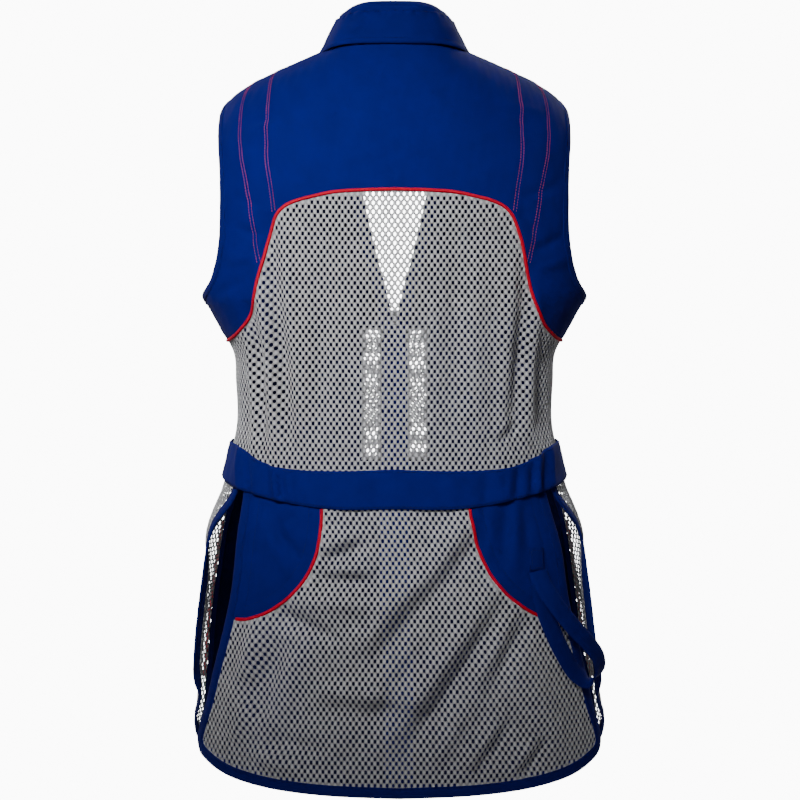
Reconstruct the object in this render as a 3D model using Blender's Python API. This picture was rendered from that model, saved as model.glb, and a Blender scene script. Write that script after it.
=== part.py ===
"""Shooting vest, hollow, in the shape it takes when it is worn.

Metres, +Z up. The front faces -Y and +X is the wearer's left. The origin lies on the
centre plane at the height of the side neck points, where the shoulders carry the vest.

Every panel is a region of one body form. Places on it are given as a tailor gives them:
`across`, measured round the body from the centre of the back, and `down`, measured from the
neck seam. The wearer's left is positive.
"""
import math

import bmesh
import bpy
import numpy as np
from mathutils import Vector
from mathutils.geometry import delaunay_2d_cdt

# Cloth and seams
CLOTH = 0.0014
MESH_CLOTH = 0.0012
SEAM_GAP = 0.0003
PIPING_RADIUS = 0.0016
PIPING_LIFT = 0.0012
BINDING_THICK = 0.0026
BINDING_OUT = -0.0006
TAIL_BINDING_WIDTH = 0.0110
ARMHOLE_BINDING_WIDTH = 0.0090
SKIRT_BINDING_WIDTH = 0.0085
TAPE_CLOTH = 0.0009
CORD_OFF_PANEL = 0.0002
GRID = 0.020
EDGE_STEP = 0.014
OPENING_STEP = 0.020
FINE_STEP = 0.008
SPACING_LEAST = 0.004
BELT_STEP = 0.013
CLEAR_OF_OUTLINE = 0.55
LEAST_TURN = 0.15
PIPING_SIDES = 8
SHARP_DEGREES = 50

# Lengths down the cloth
SHOULDER_SEAM_SHARE = 0.530
SIDE_SEAM_SHARE = 0.520
SKIRT_TOP = 0.440
SKIRT_HEM = 0.8055
HEM_LEVEL = 0.040
TUCK = 0.008
PIPING_TUCK = 0.002
ARMHOLE_MIDDLE = 0.200
FACING_OUTER = 0.1722
FACING_PIPING_OUTER = 0.1705
PIPING_BELOW_BELT = 0.0010

# Front opening, as distances from the centre front
ZIP_STOP = 0.287
STRAIGHT_BELOW_STOP = 0.03
PAST_HEM = 0.01
CHAIN_HALF = 0.0027
CHAIN_DEPTH = 0.0016
CHAIN_FROM = ZIP_STOP + 0.009
CHAIN_TO = SKIRT_HEM - 0.004
TAPE_EDGE = 0.0030
TAPE_WIDTH = 0.0036
FLY_EDGE = 0.0069
FLY_WIDTH = 0.0086
FRONT_EDGE = FLY_EDGE + FLY_WIDTH + SEAM_GAP
INSET_WIDTH = 0.0180
INSET_TOP = 0.302
INSET_BOTTOM = 0.440
FRONT_PIPING = 0.0420
FRONT_PIPING_BOTTOM = 0.442
# Skirt's seam on a front: distance from the centre front, down
SKIRT_SEAM = (
    (0.1900, SKIRT_TOP),
    (0.2010, 0.5200),
    (0.2130, 0.6000),
    (0.2255, 0.6700),
    (0.2344, 0.7405),
)

# Collar
COLLAR_FRONT_SHARE = 0.775
COLLAR_STEPS = 36

# Waistband and strap
BELT_LIFT = BINDING_OUT + BINDING_THICK + 2 * SEAM_GAP
BELT_THICK = 0.0022
STRAP_WIDTH = 0.019
STRAP_THICK = 0.0015
STRAP_STEP = 0.006
TAB_LIFT = CLOTH + SEAM_GAP + 0.0004

# Patch pockets on the front skirt
POCKET_TOP = 0.500
POCKET_BOTTOM = 0.668
POCKET_INNER = 0.024
POCKET_OUTER = 0.176
POCKET_DEPTH = 0.018
POCKET_CORNER = 0.022
POCKET_BELLY_POWER = 0.55
POCKET_RISE_POWER = 0.60

# Body form: one row for each ring of the body
# down, side_x, side_z, back_y, back_z, front_y, front_z
BODY_RINGS = (
    (0.000, 0.066, 0.011, 0.060, 0.014, -0.066, -0.066),
    (0.030, 0.092, 0.000, 0.076, -0.012, -0.084, -0.092),
    (0.060, 0.119, -0.012, 0.089, -0.039, -0.098, -0.116),
    (0.090, 0.145, -0.025, 0.098, -0.067, -0.108, -0.138),
    (0.115, 0.166, -0.040, 0.103, -0.092, -0.115, -0.156),
    (0.140, 0.184, -0.066, 0.106, -0.117, -0.120, -0.172),
    (0.170, 0.193, -0.108, 0.108, -0.147, -0.124, -0.190),
    (0.205, 0.197, -0.168, 0.109, -0.182, -0.127, -0.210),
    (0.240, 0.198, -0.217, 0.109, -0.217, -0.129, -0.229),
    (0.262, 0.196, -0.239, 0.108, -0.239, -0.130, -0.246),
    (0.276, 0.188, -0.253, 0.108, -0.253, -0.130, -0.256),
    (0.298, 0.176, -0.275, 0.107, -0.275, -0.129, -0.277),
    (0.318, 0.165, -0.295, 0.106, -0.295, -0.128, -0.296),
    (0.350, 0.162, -0.327, 0.103, -0.327, -0.123, -0.327),
    (0.400, 0.162, -0.377, 0.099, -0.377, -0.115, -0.377),
    (0.422, 0.167, -0.399, 0.098, -0.399, -0.112, -0.399),
    (0.455, 0.175, -0.432, 0.099, -0.432, -0.112, -0.432),
    (0.500, 0.190, -0.477, 0.106, -0.477, -0.116, -0.477),
    (0.560, 0.200, -0.537, 0.115, -0.537, -0.122, -0.537),
    (0.630, 0.208, -0.607, 0.122, -0.607, -0.127, -0.607),
    (0.680, 0.214, -0.657, 0.126, -0.657, -0.130, -0.657),
    (0.820, 0.220, -0.797, 0.132, -0.797, -0.134, -0.797),
)
# Collar stand, from the neck seam up
STAND_RINGS = (
    (0.000, 0.0660, 0.0123, 0.0600, 0.0153, -0.0660, -0.0643),
    (0.020, 0.0565, 0.0290, 0.0540, 0.0345, -0.0610, -0.0430),
    (0.041, 0.0423, 0.0488, 0.0463, 0.0558, -0.0545, -0.0197),
)
# Collar fall, from the roll line down over the stand
FALL_RINGS = (
    (0.000, 0.0440, 0.0500, 0.0480, 0.0570, -0.0560, -0.0185),
    (0.005, 0.0505, 0.0465, 0.0535, 0.0545, -0.0610, -0.0205),
    (0.024, 0.0640, 0.0290, 0.0615, 0.0360, -0.0680, -0.0400),
    (0.046, 0.0735, 0.0145, 0.0665, 0.0140, -0.0730, -0.0620),
)
BACK_POWER = 2.5
FRONT_POWER = 2.25
RISE_POWER = 4.0
FOLD_END_POWER = 0.7

# The skirt hangs a little towards the wearer's right, the tail from higher up than the front
SWING = 0.005
TAIL_SWING_FROM = 0.44
FRONT_SWING_FROM = 0.60
SWING_OVER = 0.10
SWING_BACK_SHARE = 0.36
SWING_FADE = 0.12

# Largest folds, as soft ridges and troughs
# across, down, to_across, to_down, half_width, height
FOLDS = (
    (-0.078, 0.476, 0.062, 0.722, 0.016, 0.0050),
    (-0.050, 0.478, 0.020, 0.640, 0.013, -0.0040),
    (-0.030, 0.560, 0.120, 0.735, 0.015, -0.0035),
    (0.056, 0.480, 0.052, 0.600, 0.013, 0.0035),
    (0.110, 0.560, 0.165, 0.715, 0.016, -0.0040),
    (0.140, 0.600, 0.188, 0.700, 0.012, 0.0035),
    (-0.120, 0.600, -0.170, 0.730, 0.017, 0.0040),
    (-0.100, 0.480, -0.085, 0.560, 0.014, -0.0030),
    (-0.020, 0.665, -0.090, 0.745, 0.014, 0.0030),
    (0.112, 0.200, 0.128, 0.420, 0.014, 0.0030),
    (0.084, 0.180, 0.098, 0.360, 0.013, -0.0025),
    (-0.112, 0.200, -0.126, 0.410, 0.014, 0.0030),
    (-0.080, 0.190, -0.092, 0.340, 0.013, -0.0025),
    (0.150, 0.330, 0.172, 0.430, 0.012, -0.0030),
    (-0.150, 0.320, -0.170, 0.420, 0.012, -0.0030),
    (0.360, 0.420, 0.400, 0.620, 0.020, 0.0040),
    (-0.370, 0.430, -0.410, 0.640, 0.020, 0.0040),
    (0.330, 0.300, 0.400, 0.250, 0.018, -0.0035),
    (-0.330, 0.300, -0.395, 0.245, 0.018, -0.0035),
)

# Armhole, from the shoulder seam down the back, under the arm and up the front
ARMHOLE = (
    (0.2660, 0.1230),
    (0.2330, 0.1260),
    (0.2090, 0.1390),
    (0.1955, 0.1560),
    (0.1875, 0.1820),
    (0.1860, 0.2060),
    (0.1905, 0.2270),
    (0.2040, 0.2480),
    (0.2240, 0.2590),
    (0.2500, 0.2640),
    (0.2720, 0.2640),
    (0.2980, 0.2570),
    (0.3240, 0.2380),
    (0.3400, 0.2120),
    (0.3430, 0.1860),
    (0.3330, 0.1610),
    (0.3090, 0.1380),
)
YOKE_SEAM = (
    (0.0000, 0.1540),
    (0.0350, 0.1550),
    (0.0600, 0.1570),
    (0.0820, 0.1620),
    (0.0980, 0.1670),
    (0.1095, 0.1730),
    (0.1180, 0.1820),
    (0.1230, 0.1930),
    (0.1280, 0.2080),
    (0.1320, 0.2260),
    (0.1365, 0.2440),
    (0.1415, 0.2630),
    (0.1480, 0.2770),
    (0.1560, 0.2880),
    (0.1660, 0.2960),
    (0.1780, 0.3020),
    (0.2000, 0.3070),
)
YOKE_SIDE_DOWN = 0.309
BELT_TOP = (
    (0.0000, 0.4330),
    (0.0600, 0.4350),
    (0.0950, 0.4345),
    (0.1250, 0.4310),
    (0.1450, 0.4240),
    (0.1650, 0.4160),
    (0.1950, 0.4125),
    (0.2360, 0.4125),
)
BELT_BOTTOM = (
    (0.0000, 0.4730),
    (0.0600, 0.4735),
    (0.0950, 0.4700),
    (0.1300, 0.4640),
    (0.1600, 0.4580),
    (0.2000, 0.4510),
    (0.2420, 0.4490),
)
# Gathers of the waistband, as ridges: across, half_width, height
GATHERS = (
    (0.1040, 0.0070, 0.0022),
    (0.1195, 0.0045, 0.0030),
    (0.1310, 0.0050, 0.0020),
    (0.1430, 0.0045, 0.0024),
    (0.1570, 0.0060, 0.0020),
    (0.1720, 0.0070, 0.0016),
    (0.0350, 0.0160, 0.0010),
    (-0.0300, 0.0180, 0.0008),
    (-0.1060, 0.0060, 0.0022),
    (-0.1340, 0.0060, 0.0018),
    (-0.1470, 0.0045, 0.0030),
    (-0.1580, 0.0050, 0.0020),
    (-0.1720, 0.0070, 0.0016),
)
TAIL_EDGE = (
    (0.1590, 0.4500),
    (0.1615, 0.4680),
    (0.1700, 0.5080),
    (0.1790, 0.5670),
    (0.1850, 0.5900),
    (0.2010, 0.6400),
    (0.2120, 0.6750),
    (0.2230, 0.6990),
    (0.2265, 0.7120),
    (0.2210, 0.7240),
    (0.2060, 0.7325),
    (0.1830, 0.7415),
    (0.1500, 0.7490),
    (0.1130, 0.7540),
    (0.0820, 0.7565),
    (0.0000, 0.7595),
)
FACING_SEAM = (
    (0.0740, 0.4640),
    (0.0745, 0.4800),
    (0.0770, 0.4960),
    (0.0805, 0.5120),
    (0.0865, 0.5275),
    (0.0955, 0.5435),
    (0.1080, 0.5580),
    (0.1220, 0.5690),
    (0.1360, 0.5775),
    (0.1530, 0.5840),
    (0.1850, 0.5860),
)
# Back edge of the front skirt, round its corner to the hem
SLIT_EDGE = (
    (0.1650, 0.4520),
    (0.1780, 0.4720),
    (0.1960, 0.4870),
    (0.2120, 0.5000),
    (0.2235, 0.5170),
    (0.2310, 0.5450),
    (0.2365, 0.5750),
    (0.2430, 0.6100),
    (0.2485, 0.6450),
    (0.2540, 0.6640),
    (0.2670, 0.6800),
    (0.2860, 0.6950),
    (0.3060, 0.7110),
    (0.3230, 0.7270),
)
# Hem of a front from the foot of the skirt's seam towards the zip, in the same two lengths
FRONT_HEM = (
    (0.2222, 0.7530),
    (0.2033, 0.7660),
    (0.1822, 0.7775),
    (0.1512, 0.7890),
    (0.1199, 0.7970),
    (0.0860, 0.8025),
)
# The skirt's side leans in behind its back edge, which stands out.
FLARE_IN = 0.0090
FLARE_EDGE = 0.2485
FLARE_TURN = 0.0080
FLARE_FADE = 0.0350
FLARE_FROM = 0.500
FLARE_OVER = 0.060
# Neckline of the open front: distance from the centre front, down
NECK_OPENING = (
    (0.0505, -0.016),
    (0.0475, 0.000),
    (0.0315, 0.083),
    (0.0230, 0.140),
    (0.0137, 0.205),
    (0.0000, ZIP_STOP),
)
# Strap loop: across, down, out from the cloth
STRAP_ROUTE = (
    (-0.1400, 0.5362, 0.0031),
    (-0.1415, 0.5450, 0.0066),
    (-0.1450, 0.5560, 0.0115),
    (-0.1530, 0.5720, 0.0180),
    (-0.1665, 0.5925, 0.0230),
    (-0.1820, 0.6110, 0.0255),
    (-0.1950, 0.6290, 0.0245),
    (-0.2000, 0.6430, 0.0185),
    (-0.1950, 0.6500, 0.0110),
    (-0.1830, 0.6420, 0.0064),
    (-0.1690, 0.6230, 0.0052),
    (-0.1570, 0.6000, 0.0048),
    (-0.1480, 0.5780, 0.0040),
    (-0.1435, 0.5600, 0.0035),
    (-0.1420, 0.5500, 0.0033),
)
STRAP_TAB = (-0.1400, 0.5245, 0.0150, 0.0220)

# Zip slider and its pull tab
SLIDER_WIDTH = 0.0088
SLIDER_LENGTH = 0.0120
SLIDER_DEPTH = 0.0042
SLIDER_OFF_CLOTH = 0.0012
SLIDER_BEVEL = 0.0008
LUG_THICK = 0.0010
LUG_REACH = 0.0030
LUG_HALF_HEIGHT = 0.0022
LUG_OVERLAP = 0.0010
PIN_RADIUS = 0.0007
PIN_OUT = 0.0026
PIN_ABOVE = 0.0015
PIN_CLEAR = 0.0004
EYE_HOLE = 0.0011
EYE_RADIUS = 0.0022
EYE_HALF_WIDTH = 0.0020
TAB_WIDTH = 0.0066
TAB_LENGTH = 0.0300
TAB_THICK = 0.0016
GRIP_TOP = 0.0075
GRIP_BELOW = 0.0015
GRIP_EXTRA = 0.0002
GRIP_BEVEL = 0.0005
HOLE_HALF_LENGTH = 0.006

# Colours, roughness and metallic value of each material
FINISHES = {
    "blue_cloth": ((0.001, 0.015, 0.150, 1.0), 0.80, 0.0),
    "grey_mesh": ((0.330, 0.335, 0.350, 1.0), 0.85, 0.0),
    "red_cord": ((0.680, 0.004, 0.020, 1.0), 0.70, 0.0),
    "zip_metal": ((0.560, 0.560, 0.580, 1.0), 0.35, 1.0),
}


# Curves and interpolation

def smooth_columns(rows, at):
    """Read a table of rows smoothly at many values of its first column."""
    table = np.array(rows, float)
    knots = table[:, 0]
    values = table[:, 1:]
    steps = np.diff(knots)[:, None]
    slopes = np.diff(values, axis=0) / steps
    tangents = np.empty_like(values)
    tangents[1:-1] = (slopes[:-1] * steps[1:] + slopes[1:] * steps[:-1]) / (steps[:-1] + steps[1:])
    tangents[0] = slopes[0]
    tangents[-1] = slopes[-1]
    at = np.asarray(at, float)
    index = np.clip(np.searchsorted(knots, at) - 1, 0, len(knots) - 2)
    step = steps[index]
    u = (at - knots[index])[:, None] / step
    start = (2 * u**3 - 3 * u**2 + 1) * values[index] + (u**3 - 2 * u**2 + u) * step * tangents[index]
    end = (3 * u**2 - 2 * u**3) * values[index + 1] + (u**3 - u**2) * step * tangents[index + 1]
    return start + end


def smooth_path(points, step=EDGE_STEP, closed=False):
    """Points at even steps along a smooth curve through the given ones."""
    points = [tuple(p) for p in points]
    if closed:
        points = points[-3:] + points + points[:4]
    table = np.array(points, float)
    chords = np.linalg.norm(np.diff(table, axis=0), axis=1)
    along = np.concatenate([[0.0], np.cumsum(chords)])
    start, end = 0.0, along[-1]
    if closed:
        start, end = along[3], along[-4]
    count = max(2, int(round((end - start) / step)))
    places = np.linspace(start, end, count + 1)
    if closed:
        places = places[:-1]
    return smooth_columns(np.column_stack([along, table]), places)


def straight(start, end, step=EDGE_STEP):
    """Points at even steps along a straight line."""
    start = np.array(start, float)
    end = np.array(end, float)
    count = max(1, int(round(np.linalg.norm(end - start) / step)))
    return start + (end - start) * np.linspace(0.0, 1.0, count + 1)[:, None]


def smooth_rise(value, start, over):
    """0 before start, 1 once `over` has passed, and smooth between."""
    u = np.clip((value - start) / over, 0.0, 1.0)
    return u * u * (3.0 - 2.0 * u)


# Body form

class Form:
    """A hollow form through rings, read by share of the half ring and by length down."""

    STEP = 0.004
    QUARTER = 96

    def __init__(self, rings, swings=False):
        self.rings = rings
        self.swings = swings
        self.length = rings[-1][0]
        self.rows = np.linspace(0.0, self.length, max(3, int(round(self.length / self.STEP)) + 1))
        columns = smooth_columns(rings, self.rows)
        side_x, side_z, back_y, back_z, front_y, front_z = (columns[:, k, None] for k in range(6))
        turn = np.linspace(0.0, math.pi, 2 * self.QUARTER + 1)
        sine = np.abs(np.sin(turn))
        in_back = turn <= math.pi / 2
        power = 2.0 / np.where(in_back, BACK_POWER, FRONT_POWER)
        end_z = np.where(in_back, back_z, front_z)
        x = side_x * sine**power
        y = np.where(in_back, back_y, front_y) * np.abs(np.cos(turn))**power
        z = end_z + (side_z - end_z) * sine**RISE_POWER
        ring = np.stack([x, y, z], axis=2)
        lengths = np.linalg.norm(np.diff(ring, axis=1), axis=2)
        along = np.concatenate([np.zeros((len(self.rows), 1)), np.cumsum(lengths, axis=1)], axis=1)
        self.halves = along[:, -1]
        self.columns = 4 * self.QUARTER + 1
        shares = np.linspace(0.0, 1.0, self.columns)
        self.table = np.empty((len(self.rows), self.columns, 3))
        for row in range(len(self.rows)):
            wanted = shares * self.halves[row]
            for axis in range(3):
                self.table[row, :, axis] = np.interp(wanted, along[row], ring[row, :, axis])

    def half(self, down):
        """Length round the body from the centre back to the centre front."""
        return np.interp(down, self.rows, self.halves)

    def point(self, share, down):
        share = np.asarray(share, float)
        down = np.asarray(down, float)
        u = np.clip(np.abs(share), 0.0, 1.0) * (self.columns - 1)
        v = np.clip(down / self.length, 0.0, 1.0) * (len(self.rows) - 1)
        i = np.minimum(u.astype(int), self.columns - 2)
        j = np.minimum(v.astype(int), len(self.rows) - 2)
        a = (u - i)[..., None]
        b = (v - j)[..., None]
        upper = self.table[j, i] * (1 - a) + self.table[j, i + 1] * a
        lower = self.table[j + 1, i] * (1 - a) + self.table[j + 1, i + 1] * a
        place = upper * (1 - b) + lower * b
        place[..., 0] *= np.where(share < 0, -1.0, 1.0)
        if self.swings:
            in_front = smooth_rise(np.abs(share), SWING_BACK_SHARE, SWING_FADE)
            tail = smooth_rise(down, TAIL_SWING_FROM, SWING_OVER)
            front = smooth_rise(down, FRONT_SWING_FROM, SWING_OVER)
            place[..., 0] -= SWING * (tail + (front - tail) * in_front)
        return place

    def normal(self, share, down):
        """Unit direction out of the form, from points a little way off on each side."""
        away_share = 0.010
        away_down = 0.006
        share = np.asarray(share, float)
        down = np.clip(np.asarray(down, float), 0.0, self.length)
        ahead = np.minimum(down + away_down, self.length)
        behind = np.maximum(down - away_down, 0.0)
        round_way = self.around(share + away_share, down) - self.around(share - away_share, down)
        down_way = self.point(share, ahead) - self.point(share, behind)
        out = np.cross(round_way, down_way)
        return out / np.linalg.norm(out, axis=-1, keepdims=True)

    def around(self, share, down):
        """A point whose share may run past the centre front to the other side."""
        wrapped = np.where(share > 1.0, share - 2.0, np.where(share < -1.0, share + 2.0, share))
        return self.point(wrapped, down)


BODY = Form(BODY_RINGS, swings=True)
STAND = Form(STAND_RINGS)
FALL = Form(FALL_RINGS)


def fold_height(across, down):
    """How far the folds lift the cloth at a place."""
    height = np.zeros_like(across)
    for from_across, from_down, to_across, to_down, half_width, peak in FOLDS:
        way = np.array([to_across - from_across, to_down - from_down])
        length = np.linalg.norm(way)
        way = way / length
        along = (across - from_across) * way[0] + (down - from_down) * way[1]
        aside = (down - from_down) * way[0] - (across - from_across) * way[1]
        ends = np.sin(np.pi * np.clip(along / length, 0.0, 1.0)) ** FOLD_END_POWER
        height += peak * ends * np.exp(-(aside / half_width) ** 2)
    return height


def on_body(places, out):
    """World points for (across, down) places, lifted off the folded cloth by `out`."""
    across = places[:, 0]
    down = places[:, 1]
    share = across / BODY.half(down)
    lift = np.asarray(out) + fold_height(across, down)
    return BODY.point(share, down) + BODY.normal(share, down) * np.reshape(lift, (-1, 1))


def on_side(edges, side):
    """The edges of a piece for the left side, or mirrored for the right."""
    if side > 0:
        return edges
    return [(mirrored(curve)[::-1], inset) for curve, inset in reversed(edges)]


def from_front(points):
    """Turn (distance from the centre front, down) into (across, down)."""
    return [(float(BODY.half(down)) - away, down) for away, down in points]


def share_line(share, start, end, step=EDGE_STEP):
    """The line at one share of the half ring, between two lengths down."""
    downs = straight((0.0, start), (0.0, end), step)[:, 1]
    return np.column_stack([share * BODY.half(downs), downs])


def mirrored(points):
    flipped = np.array(points, float)
    flipped[:, 0] *= -1.0
    return flipped


# Mesh making

def new_object(name, points, faces, finish):
    """One closed solid with its faces turned outwards."""
    mesh = bpy.data.meshes.new(name)
    mesh.from_pydata([tuple(p) for p in points], [], faces)
    body = bmesh.new()
    body.from_mesh(mesh)
    bmesh.ops.recalc_face_normals(body, faces=body.faces[:])
    if body.calc_volume(signed=True) < 0:
        bmesh.ops.reverse_faces(body, faces=body.faces[:])
    body.to_mesh(mesh)
    body.free()
    mesh.shade_smooth()
    mesh.set_sharp_from_angle(angle=math.radians(SHARP_DEGREES))
    mesh.materials.append(MATERIALS[finish])
    piece = bpy.data.objects.new(name, mesh)
    bpy.context.scene.collection.objects.link(piece)
    return piece


def turned_area(outline):
    x, y = outline[:, 0], outline[:, 1]
    return 0.5 * float(np.sum(x * np.roll(y, -1) - np.roll(x, -1) * y))


def inset_outline(edges):
    """Join curves into one outline, each moved inwards by its own distance."""
    points = []
    moves = []
    for curve, inset in edges:
        curve = np.asarray(curve, float)
        points.extend(curve[:-1])
        moves.extend([inset] * (len(curve) - 1))
    points = np.array(points)
    moves = np.array(moves)
    if turned_area(points) < 0:
        points = points[::-1]
        moves = np.roll(moves[::-1], -1)
    ways = np.roll(points, -1, axis=0) - points
    ways = ways / np.linalg.norm(ways, axis=1, keepdims=True)
    inward = np.column_stack([-ways[:, 1], ways[:, 0]])
    result = []
    for index in range(len(points)):
        before, after = inward[index - 1], inward[index]
        first, second = moves[index - 1], moves[index]
        turn = before[0] * after[1] - before[1] * after[0]
        if abs(turn) < LEAST_TURN:
            shift = (before * first + after * second) / 2
        else:
            shift = np.linalg.solve(np.array([before, after]), np.array([first, second]))
        result.append(points[index] + shift)
    return np.array(result)


def inside(outline, places):
    """Which places lie inside a closed outline."""
    hits = np.zeros(len(places), bool)
    ahead = np.roll(outline, -1, axis=0)
    for (x0, y0), (x1, y1) in zip(outline, ahead):
        spans = (y0 > places[:, 1]) != (y1 > places[:, 1])
        height = y1 - y0 if y1 != y0 else 1.0
        cross = x0 + (places[:, 1] - y0) * (x1 - x0) / height
        hits ^= spans & (places[:, 0] < cross)
    return hits


def edge_distance(outline, places):
    nearest = np.full(len(places), 1e9)
    ahead = np.roll(outline, -1, axis=0)
    for start, end in zip(outline, ahead):
        way = end - start
        share = np.clip(((places - start) @ way) / max(float(way @ way), 1e-12), 0.0, 1.0)
        gap = np.linalg.norm(places - (start + share[:, None] * way), axis=1)
        nearest = np.minimum(nearest, gap)
    return nearest


def fill_outline(outline, spacing):
    """Triangles over an outline, with even points inside it."""
    low = outline.min(axis=0)
    high = outline.max(axis=0)
    rows = []
    row_step = spacing * math.sqrt(3) / 2
    for number in range(int((high[1] - low[1]) / row_step) + 1):
        shift = 0.5 * spacing * (number % 2)
        xs = np.arange(low[0] + shift, high[0], spacing)
        rows.append(np.column_stack([xs, np.full(len(xs), low[1] + (number + 0.5) * row_step)]))
    grid = np.concatenate(rows)
    keep = inside(outline, grid)
    grid = grid[keep]
    grid = grid[edge_distance(outline, grid) > CLEAR_OF_OUTLINE * spacing]
    places = np.concatenate([outline, grid])
    count = len(outline)
    ring = [(k, (k + 1) % count) for k in range(count)]
    found = delaunay_2d_cdt([Vector(p) for p in places], ring, [list(range(count))], 1, 1e-7)
    verts = np.array([tuple(v) for v in found[0]])
    return verts, [tuple(face) for face in found[2]]


def skin(places, faces, outer, inner):
    """Close two skins over the same triangles with a rim."""
    count = len(places)
    solid = [tuple(face) for face in faces]
    solid += [tuple(count + k for k in reversed(face)) for face in faces]
    borders = {}
    for face in faces:
        for a, b in zip(face, face[1:] + face[:1]):
            if (b, a) in borders:
                del borders[(b, a)]
            else:
                borders[(a, b)] = True
    for a, b in borders:
        solid.append((b, a, count + a, count + b))
    return np.concatenate([outer, inner]), solid


def wall(name, edges, thickness, finish, out=0.0, relief=None, spacing=GRID):
    """A cloth panel: a region of the body form with a real thickness."""
    places, faces = fill_outline(inset_outline(edges), spacing)
    lift = np.full(len(places), out)
    if relief is not None:
        lift = lift + relief(places)
    points, solid = skin(places, faces, on_body(places, lift + thickness), on_body(places, lift))
    return new_object(name, points, solid, finish)


def strip(name, lines, thickness, finish, out=0.0, closed=False, relief=None):
    """A strip of cloth between lines that have the same number of points."""
    places = np.concatenate(lines)
    lift = np.full(len(places), out)
    if relief is not None:
        lift = lift + relief(places)
    count = len(lines[0])
    last = count if closed else count - 1
    faces = []
    for row in range(len(lines) - 1):
        for k in range(last):
            a = row * count + k
            b = row * count + (k + 1) % count
            faces.append((a, b, b + count, a + count))
    points, solid = skin(places, faces, on_body(places, lift + thickness), on_body(places, lift))
    return new_object(name, points, solid, finish)


def binding(name, path, width, closed=False, relief=None):
    """A folded binding along a path, `width` to the left of its direction."""
    path = np.asarray(path, float)
    if closed:
        ways = np.roll(path, -1, axis=0) - np.roll(path, 1, axis=0)
    else:
        ways = np.gradient(path, axis=0)
    ways = ways / np.linalg.norm(ways, axis=1, keepdims=True)
    left = np.column_stack([-ways[:, 1], ways[:, 0]])
    lines = [path, path + left * width]
    return strip(name, lines, BINDING_THICK, "blue_cloth", BINDING_OUT, closed, relief)


def sweep(name, centres, sides, outs, profile, finish):
    """Carry a closed profile of (side, out) points along a row of centres."""
    rings = []
    for centre, side, out in zip(centres, sides, outs):
        rings.append([centre + side * a + out * b for a, b in profile])
    count = len(profile)
    points = [p for ring in rings for p in ring]
    faces = []
    for row in range(len(rings) - 1):
        for k in range(count):
            a = row * count + k
            b = row * count + (k + 1) % count
            faces.append((a, b, b + count, a + count))
    faces.append(tuple(range(count)))
    faces.append(tuple(len(points) - 1 - k for k in range(count)))
    return new_object(name, points, faces, finish)


def piping(name, path, lift=PIPING_LIFT, radius=PIPING_RADIUS):
    """A covered cord that lies along a seam."""
    path = np.asarray(path, float)
    centres = on_body(path, lift)
    ways = np.gradient(centres, axis=0)
    ways = ways / np.linalg.norm(ways, axis=1, keepdims=True)
    outs = BODY.normal(path[:, 0] / BODY.half(path[:, 1]), path[:, 1])
    sides = np.cross(outs, ways)
    sides = sides / np.linalg.norm(sides, axis=1, keepdims=True)
    outs = np.cross(ways, sides)
    profile = []
    for k in range(PIPING_SIDES):
        angle = 2 * math.pi * k / PIPING_SIDES
        profile.append((radius * math.cos(angle), radius * math.sin(angle)))
    return sweep(name, centres, sides, outs, profile, "red_cord")


# Lines shared by pieces

def both_sides(curve):
    """A curve given from the centre back out, joined to its mirror image."""
    curve = np.asarray(curve, float)
    return np.concatenate([mirrored(curve[::-1])[:-1], curve])


def armhole_path(step=EDGE_STEP):
    return smooth_path(ARMHOLE, step, closed=True)


def armhole_parts():
    """The armhole's back and front edges, from the shoulder seam to the side seam."""
    loop = armhole_path()
    shares = loop[:, 0] / BODY.half(loop[:, 1])
    top = int(np.argmin(np.abs(shares - SHOULDER_SEAM_SHARE) + (loop[:, 1] > ARMHOLE_MIDDLE)))
    loop = np.roll(loop, -top, axis=0)
    shares = np.roll(shares, -top)
    low = int(np.argmin(np.abs(shares - SIDE_SEAM_SHARE) + (loop[:, 1] < ARMHOLE_MIDDLE)))
    back = loop[:low + 1]
    front = np.concatenate([loop[low:], loop[:1]])[::-1]
    return back, front


def shoulder_seam(end):
    """From the neck to the top of the armhole."""
    start = (SHOULDER_SEAM_SHARE * float(BODY.half(0.0)), 0.0)
    return straight(start, end)


def side_seam(start, end_down):
    """Down the side, from a given point."""
    line = share_line(SIDE_SEAM_SHARE, start[1], end_down)
    line[0] = start
    return line


def belt_line(rows, shift=0.0):
    line = smooth_path(rows)
    line[:, 1] += shift
    return line


def cut_line(line, low=None, high=None):
    """The part of a line between two values of across."""
    keep = np.ones(len(line), bool)
    if low is not None:
        keep &= line[:, 0] > low
    if high is not None:
        keep &= line[:, 0] < high
    return line[keep]


def down_on(line, across):
    return float(np.interp(across, line[:, 0], line[:, 1]))


# Pieces of the back

def make_yoke():
    back, _ = armhole_parts()
    seam = smooth_path(YOKE_SEAM)
    side_low = (SIDE_SEAM_SHARE * float(BODY.half(YOKE_SIDE_DOWN)), YOKE_SIDE_DOWN)
    side = side_seam(back[-1], YOKE_SIDE_DOWN)
    under = straight(side_low, seam[-1])
    neck = straight((0.0, 0.0), (SHOULDER_SEAM_SHARE * float(BODY.half(0.0)), 0.0))
    half_plain = SEAM_GAP / 2
    bound = ARMHOLE_BINDING_WIDTH + SEAM_GAP
    piped = PIPING_RADIUS + SEAM_GAP
    left = [
        (neck, SEAM_GAP),
        (shoulder_seam(back[0]), half_plain),
        (back, bound),
        (side, half_plain),
        (under, piped),
        (seam[::-1], piped),
    ]
    return wall("back_yoke", left + on_side(left, -1), CLOTH, "blue_cloth")


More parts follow.
